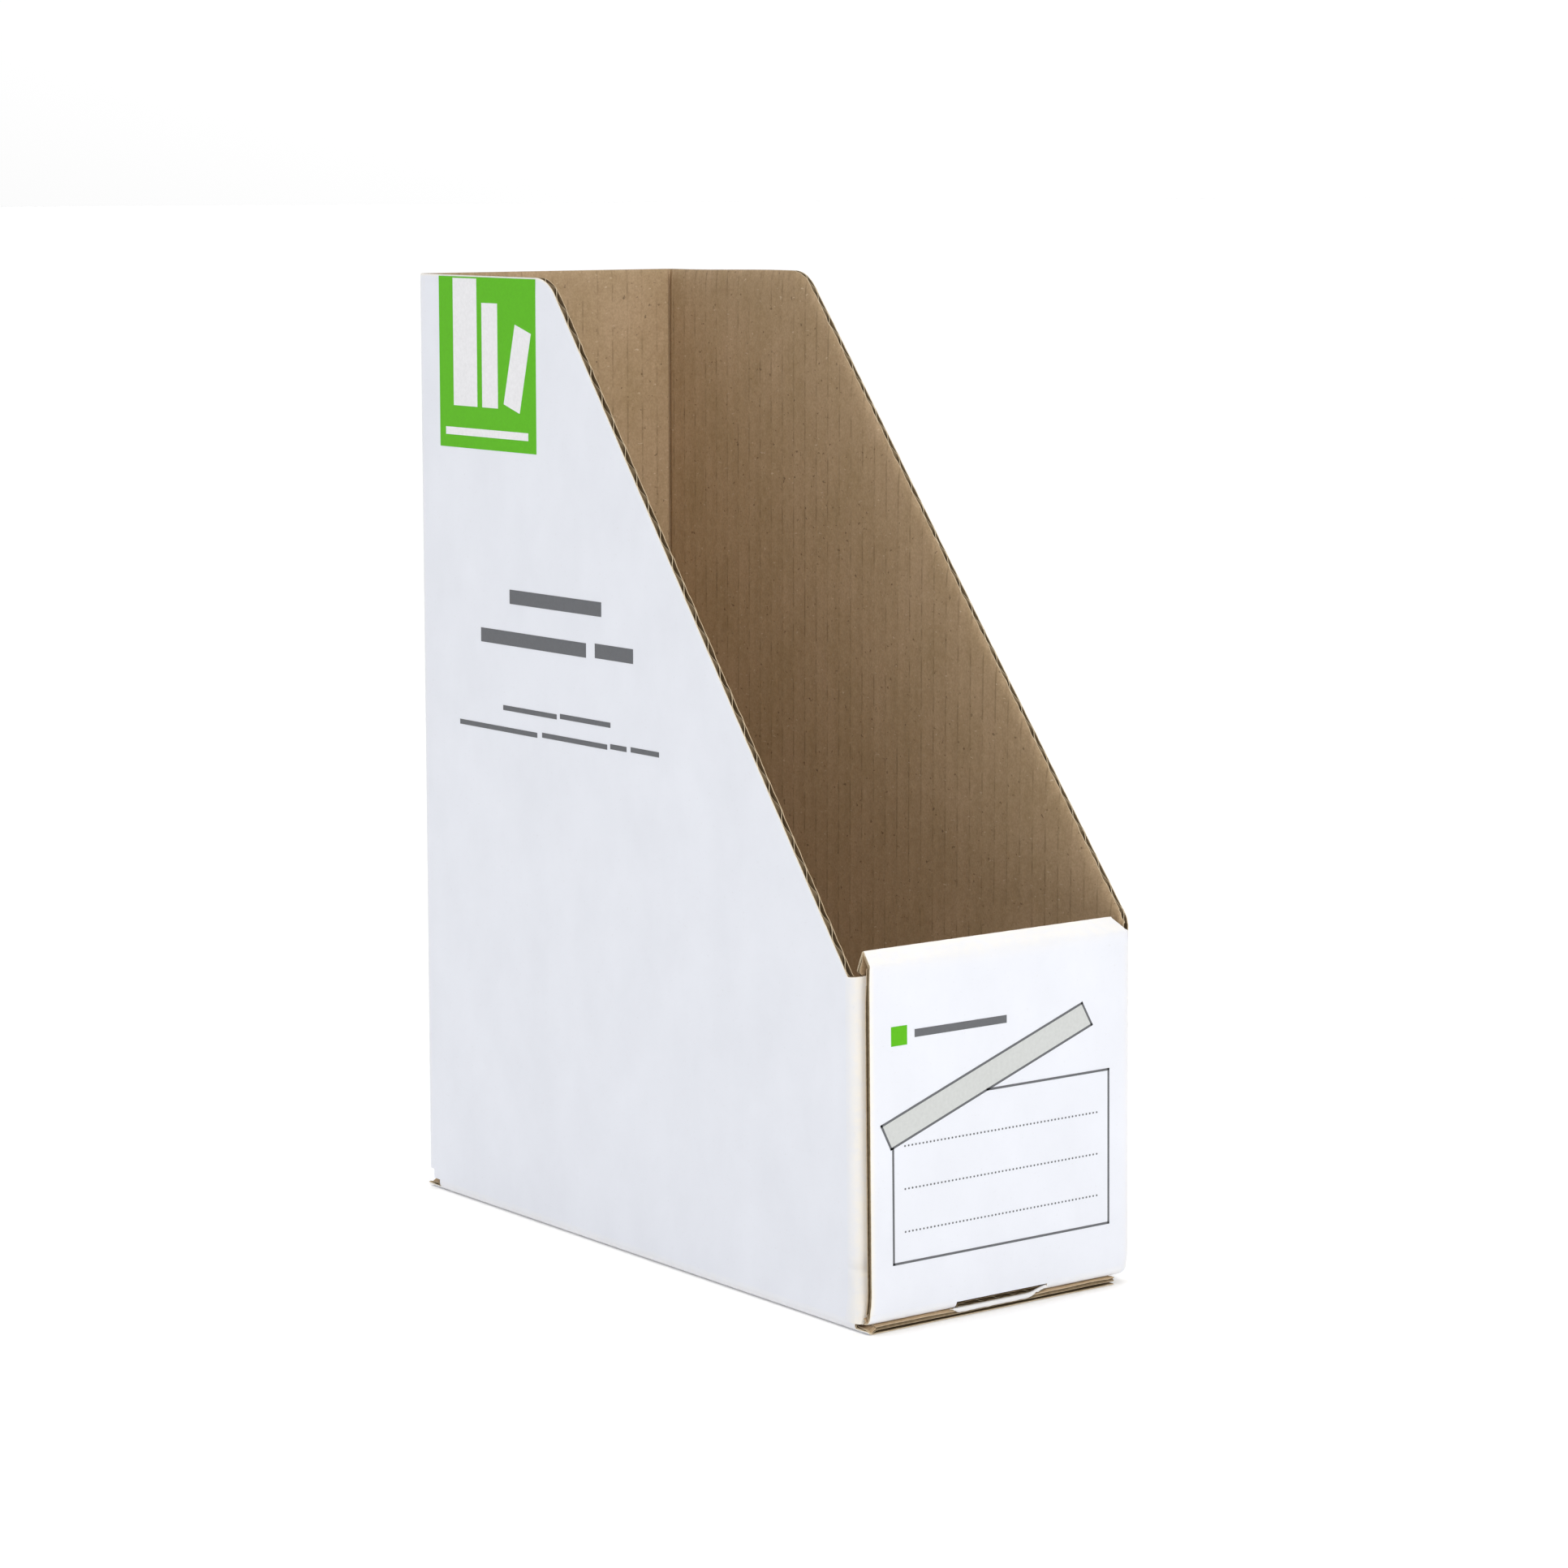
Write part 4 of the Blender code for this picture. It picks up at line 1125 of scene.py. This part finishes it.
def white_paper():
    """Clay-coated white liner: faintly clouded, creamier where it is folded or cut, and painted
    lighter there as a highlight where folds catch the light.
    """
    paint = Paint("white_coated_paper", 0.5)
    cloud = paint.blotches(0.3, 0.7, 45, 30, 4)
    colour = paint.mix(cloud, srgb(232, 235, 243), srgb(237, 240, 248))
    speck = paint.blotches(0.64, 0.74, 900, 900, 2)
    colour = paint.tint(colour, speck, 0.12, (200, 198, 194))
    # The cream tint is partly the stressed coating at folds and cut edges, and partly a painted
    # highlight, since it is lighter than the base white.
    patchy = paint.remap(paint.noise(260, 260, 3), 0.3, 0.6, 0.55, 1)
    worn_and_lit = paint.maths("MULTIPLY", paint.wear_and_highlight, patchy)
    colour = paint.tint(colour, worn_and_lit, 0.8, (252, 246, 233))
    grain = paint.noise(2600, 1900, 3)
    height = paint.maths("ADD", paint.maths("MULTIPLY", grain, 0.5), paint.noise(160, 90, 2))
    return paint.finish(colour, height, 0.10, 0.08 * MM, 0.35)


def kraft_paper():
    """Recycled brown liner: mottled, with fibres, flecks and faint darker lines over the flutes' tips,
    partly glue lines and partly painted shade of the washboard.
    """
    paint = Paint("brown_kraft_paper", 0.8)
    cloud = paint.blotches(0.3, 0.7, 70, 35, 5, 0.65)
    colour = paint.mix(cloud, srgb(176, 152, 117), srgb(197, 171, 140))
    mottle = paint.blotches(0.32, 0.68, 420, 330, 4, 0.7)
    colour = paint.tint(colour, mottle, 0.45, (210, 185, 152))
    grain = paint.blotches(0.35, 0.65, 1500, 1150, 3, 0.7)
    colour = paint.tint(colour, grain, 0.40, (150, 126, 96))
    # Darker lines at the flutes' tips: partly glue lines, partly painted shade of the washboard
    # ridges.
    broken = paint.blotches(0.42, 0.62, 45, 150, 4, 0.6)
    lines = paint.maths("MULTIPLY", paint.flute_lines(40.0), broken)
    colour = paint.tint(colour, lines, 0.5, (118, 97, 70))
    dark = paint.blotches(0.68, 0.74, 520, 620, 2, 0.5)
    colour = paint.tint(colour, dark, 0.6, (96, 78, 58))
    light = paint.blotches(0.69, 0.76, 430, 900, 2, 0.5)
    colour = paint.tint(colour, light, 0.5, (233, 215, 188))
    height = paint.maths("ADD", paint.noise(500, 2300, 4), paint.maths("MULTIPLY", mottle, 0.4))
    return paint.finish(colour, height, 0.25, 0.10 * MM, 0.2)


def plain_fibre(name, low, high):
    """Unfinished paper fibre between two tones, for the medium and for cut edges."""
    paint = Paint(name, 0.85)
    cloud = paint.blotches(0.3, 0.7, 420, 700, 4, 0.65)
    colour = paint.mix(cloud, srgb(*low), srgb(*high))
    return paint.finish(colour, paint.noise(2200, 2600, 3), 0.35, 0.06 * MM, 0.15)


def ink(name, colour):
    """Matt offset ink that lets the paper's cloudiness through."""
    paint = Paint(name, 0.5)
    noise = paint.object_noise(900.0, Detail=3.0)
    darker = tuple(c * 0.93 for c in srgb(*colour)[:3]) + (1.0,)
    shade = paint.mix(paint.remap(noise, 0.3, 0.7), darker, srgb(*colour))
    return paint.finish(shade, noise, 0.05, 0.05 * MM, 0.15)


def papers():
    return {
        "white": white_paper(),
        "kraft": kraft_paper(),
        "raw": plain_fibre("unfinished_liner_back", (152, 131, 102), (178, 157, 127)),
        "medium": plain_fibre("fluted_medium", (124, 107, 82), (152, 134, 107)),
        "medium_edge": plain_fibre("medium_cut_edge", (190, 172, 142), (216, 200, 172)),
        "white_edge": plain_fibre("white_liner_cut_edge", (200, 184, 156), (224, 210, 184)),
        "kraft_edge": plain_fibre("brown_liner_cut_edge", (178, 158, 128), (206, 186, 156)),
    }


def inks():
    return {
        "green": ink("green_ink", (96, 190, 24)),
        "dark": ink("grey_ink", (108, 110, 114)),
        "pale": ink("pale_grey_ink", (210, 213, 212)),
        "white": ink("unprinted_white", (243, 243, 246)),
    }


def keep_glue_seam():
    """The CAD's film of glue stays, with a dried adhesive's finish."""
    paint = Paint("dried_glue", 0.35)
    noise = paint.object_noise(300.0)
    colour = paint.mix(noise, srgb(214, 200, 164), srgb(236, 228, 202))
    seam = frame["nodes"]["glue_seam"]
    seam.data.materials.clear()
    seam.data.materials.append(paint.finish(colour, noise, 0.4, 0.1 * MM, 0.5))


# Stage
CAMERA_AT = (-0.8559, -1.1333, 0.3581)
CAMERA_TURN = (-37.346, 8.224)  # azimuth and elevation in degrees
CAMERA_LENS = 98.96
KEY_AT, KEY_AIM, KEY_SIZE = (-0.55, -1.9, 1.5), (0, 0, 0.12), 0.9
KEY_POWER, KEY_COLOUR = 20.0, (1.0, 0.97, 0.93)


def aimed(name, data, place, way):
    """Place a camera or a lamp, looking along a direction."""
    piece = link(name, data)
    piece.location = place
    piece.rotation_mode = "QUATERNION"
    piece.rotation_quaternion = way.to_track_quat("-Z", "Y")
    return piece


def camera():
    """A long lens at the holder's left front, a little above it."""
    data = bpy.data.cameras.new("camera")
    data.lens = CAMERA_LENS
    data.sensor_width = 36.0
    data.clip_start, data.clip_end = 0.05, 60.0
    azimuth, elevation = (math.radians(angle) for angle in CAMERA_TURN)
    back = Vector((
        math.sin(azimuth) * math.cos(elevation), -math.cos(azimuth) * math.cos(elevation),
        math.sin(elevation),
    ))
    bpy.context.scene.camera = aimed("camera", data, CAMERA_AT, -back)


def key_lamp():
    data = bpy.data.lights.new("key", "AREA")
    data.shape = "DISK"
    data.size = KEY_SIZE
    data.energy = KEY_POWER
    data.color = KEY_COLOUR
    aimed("key", data, KEY_AT, Vector(KEY_AIM) - Vector(KEY_AT))


# Each makes the sky's strength follow a direction: the direction, then the two heights along it
# and the strength at each.
SKY = ((0.50, 0.35, 1.0), (-0.50, 1.02, 0.03, 1.42))
SHADED_RIGHT = ((1.0, -0.75, 0.0), (0.30, 1.0, 1.0, 0.45))
FLOOR_REACH_OUT = 30.0
FLOOR_FINISH = {
    "Base Color": (0.95, 0.95, 0.95, 1), "Roughness": 0.9, "Specular IOR Level": 0.1,
    "Emission Color": (1.0, 1.0, 1.0, 1), "Emission Strength": 0.09,
}


def studio_floor():
    mesh = bpy.data.meshes.new("floor")
    far = FLOOR_REACH_OUT
    corners = [(-far, -far, 0), (far, -far, 0), (far, far, 0), (-far, far, 0)]
    mesh.from_pydata(corners, [], [(0, 1, 2, 3)])
    floor = link("floor", mesh)
    floor.location.z = -0.1 * MM
    material = bpy.data.materials.new("pale_floor")
    material.use_nodes = True
    shader = material.node_tree.nodes["Principled BSDF"]
    for socket, value in FLOOR_FINISH.items():
        shader.inputs[socket].default_value = value
    mesh.materials.append(material)


def sky():
    world = bpy.data.worlds.new("studio")
    bpy.context.scene.world = world
    world.use_nodes = True
    tree = world.node_tree
    way = node(tree, "ShaderNodeTexCoord").outputs["Generated"]
    strengths = []
    for toward, limits in (SKY, SHADED_RIGHT):
        dot = node(tree, "ShaderNodeVectorMath", {0: way, 1: toward}, operation="DOT_PRODUCT")
        inputs = dict(enumerate((dot.outputs["Value"], *limits)))
        strengths.append(node(tree, "ShaderNodeMapRange", inputs).outputs["Result"])
    product = node(tree, "ShaderNodeMath", dict(enumerate(strengths)), operation="MULTIPLY")
    background = tree.nodes["Background"]
    tree.links.new(product.outputs["Value"], background.inputs["Strength"])
    background.inputs["Color"].default_value = (1.0, 1.0, 1.0, 1)


def main():
    paper, colours = papers(), inks()
    for panel in (
        left_wall, right_wall, back_wall, front_wall, glue_flap, rim, inner_panel, lock_tab,
        floor_panel, side_flaps, front_flap, slot_lip,
    ):
        panel(paper)
    front_prints(colours)
    side_prints(colours)
    keep_glue_seam()
    camera()
    studio_floor()
    sky()
    key_lamp()
    bpy.context.scene.view_settings.view_transform = "Standard"


main()
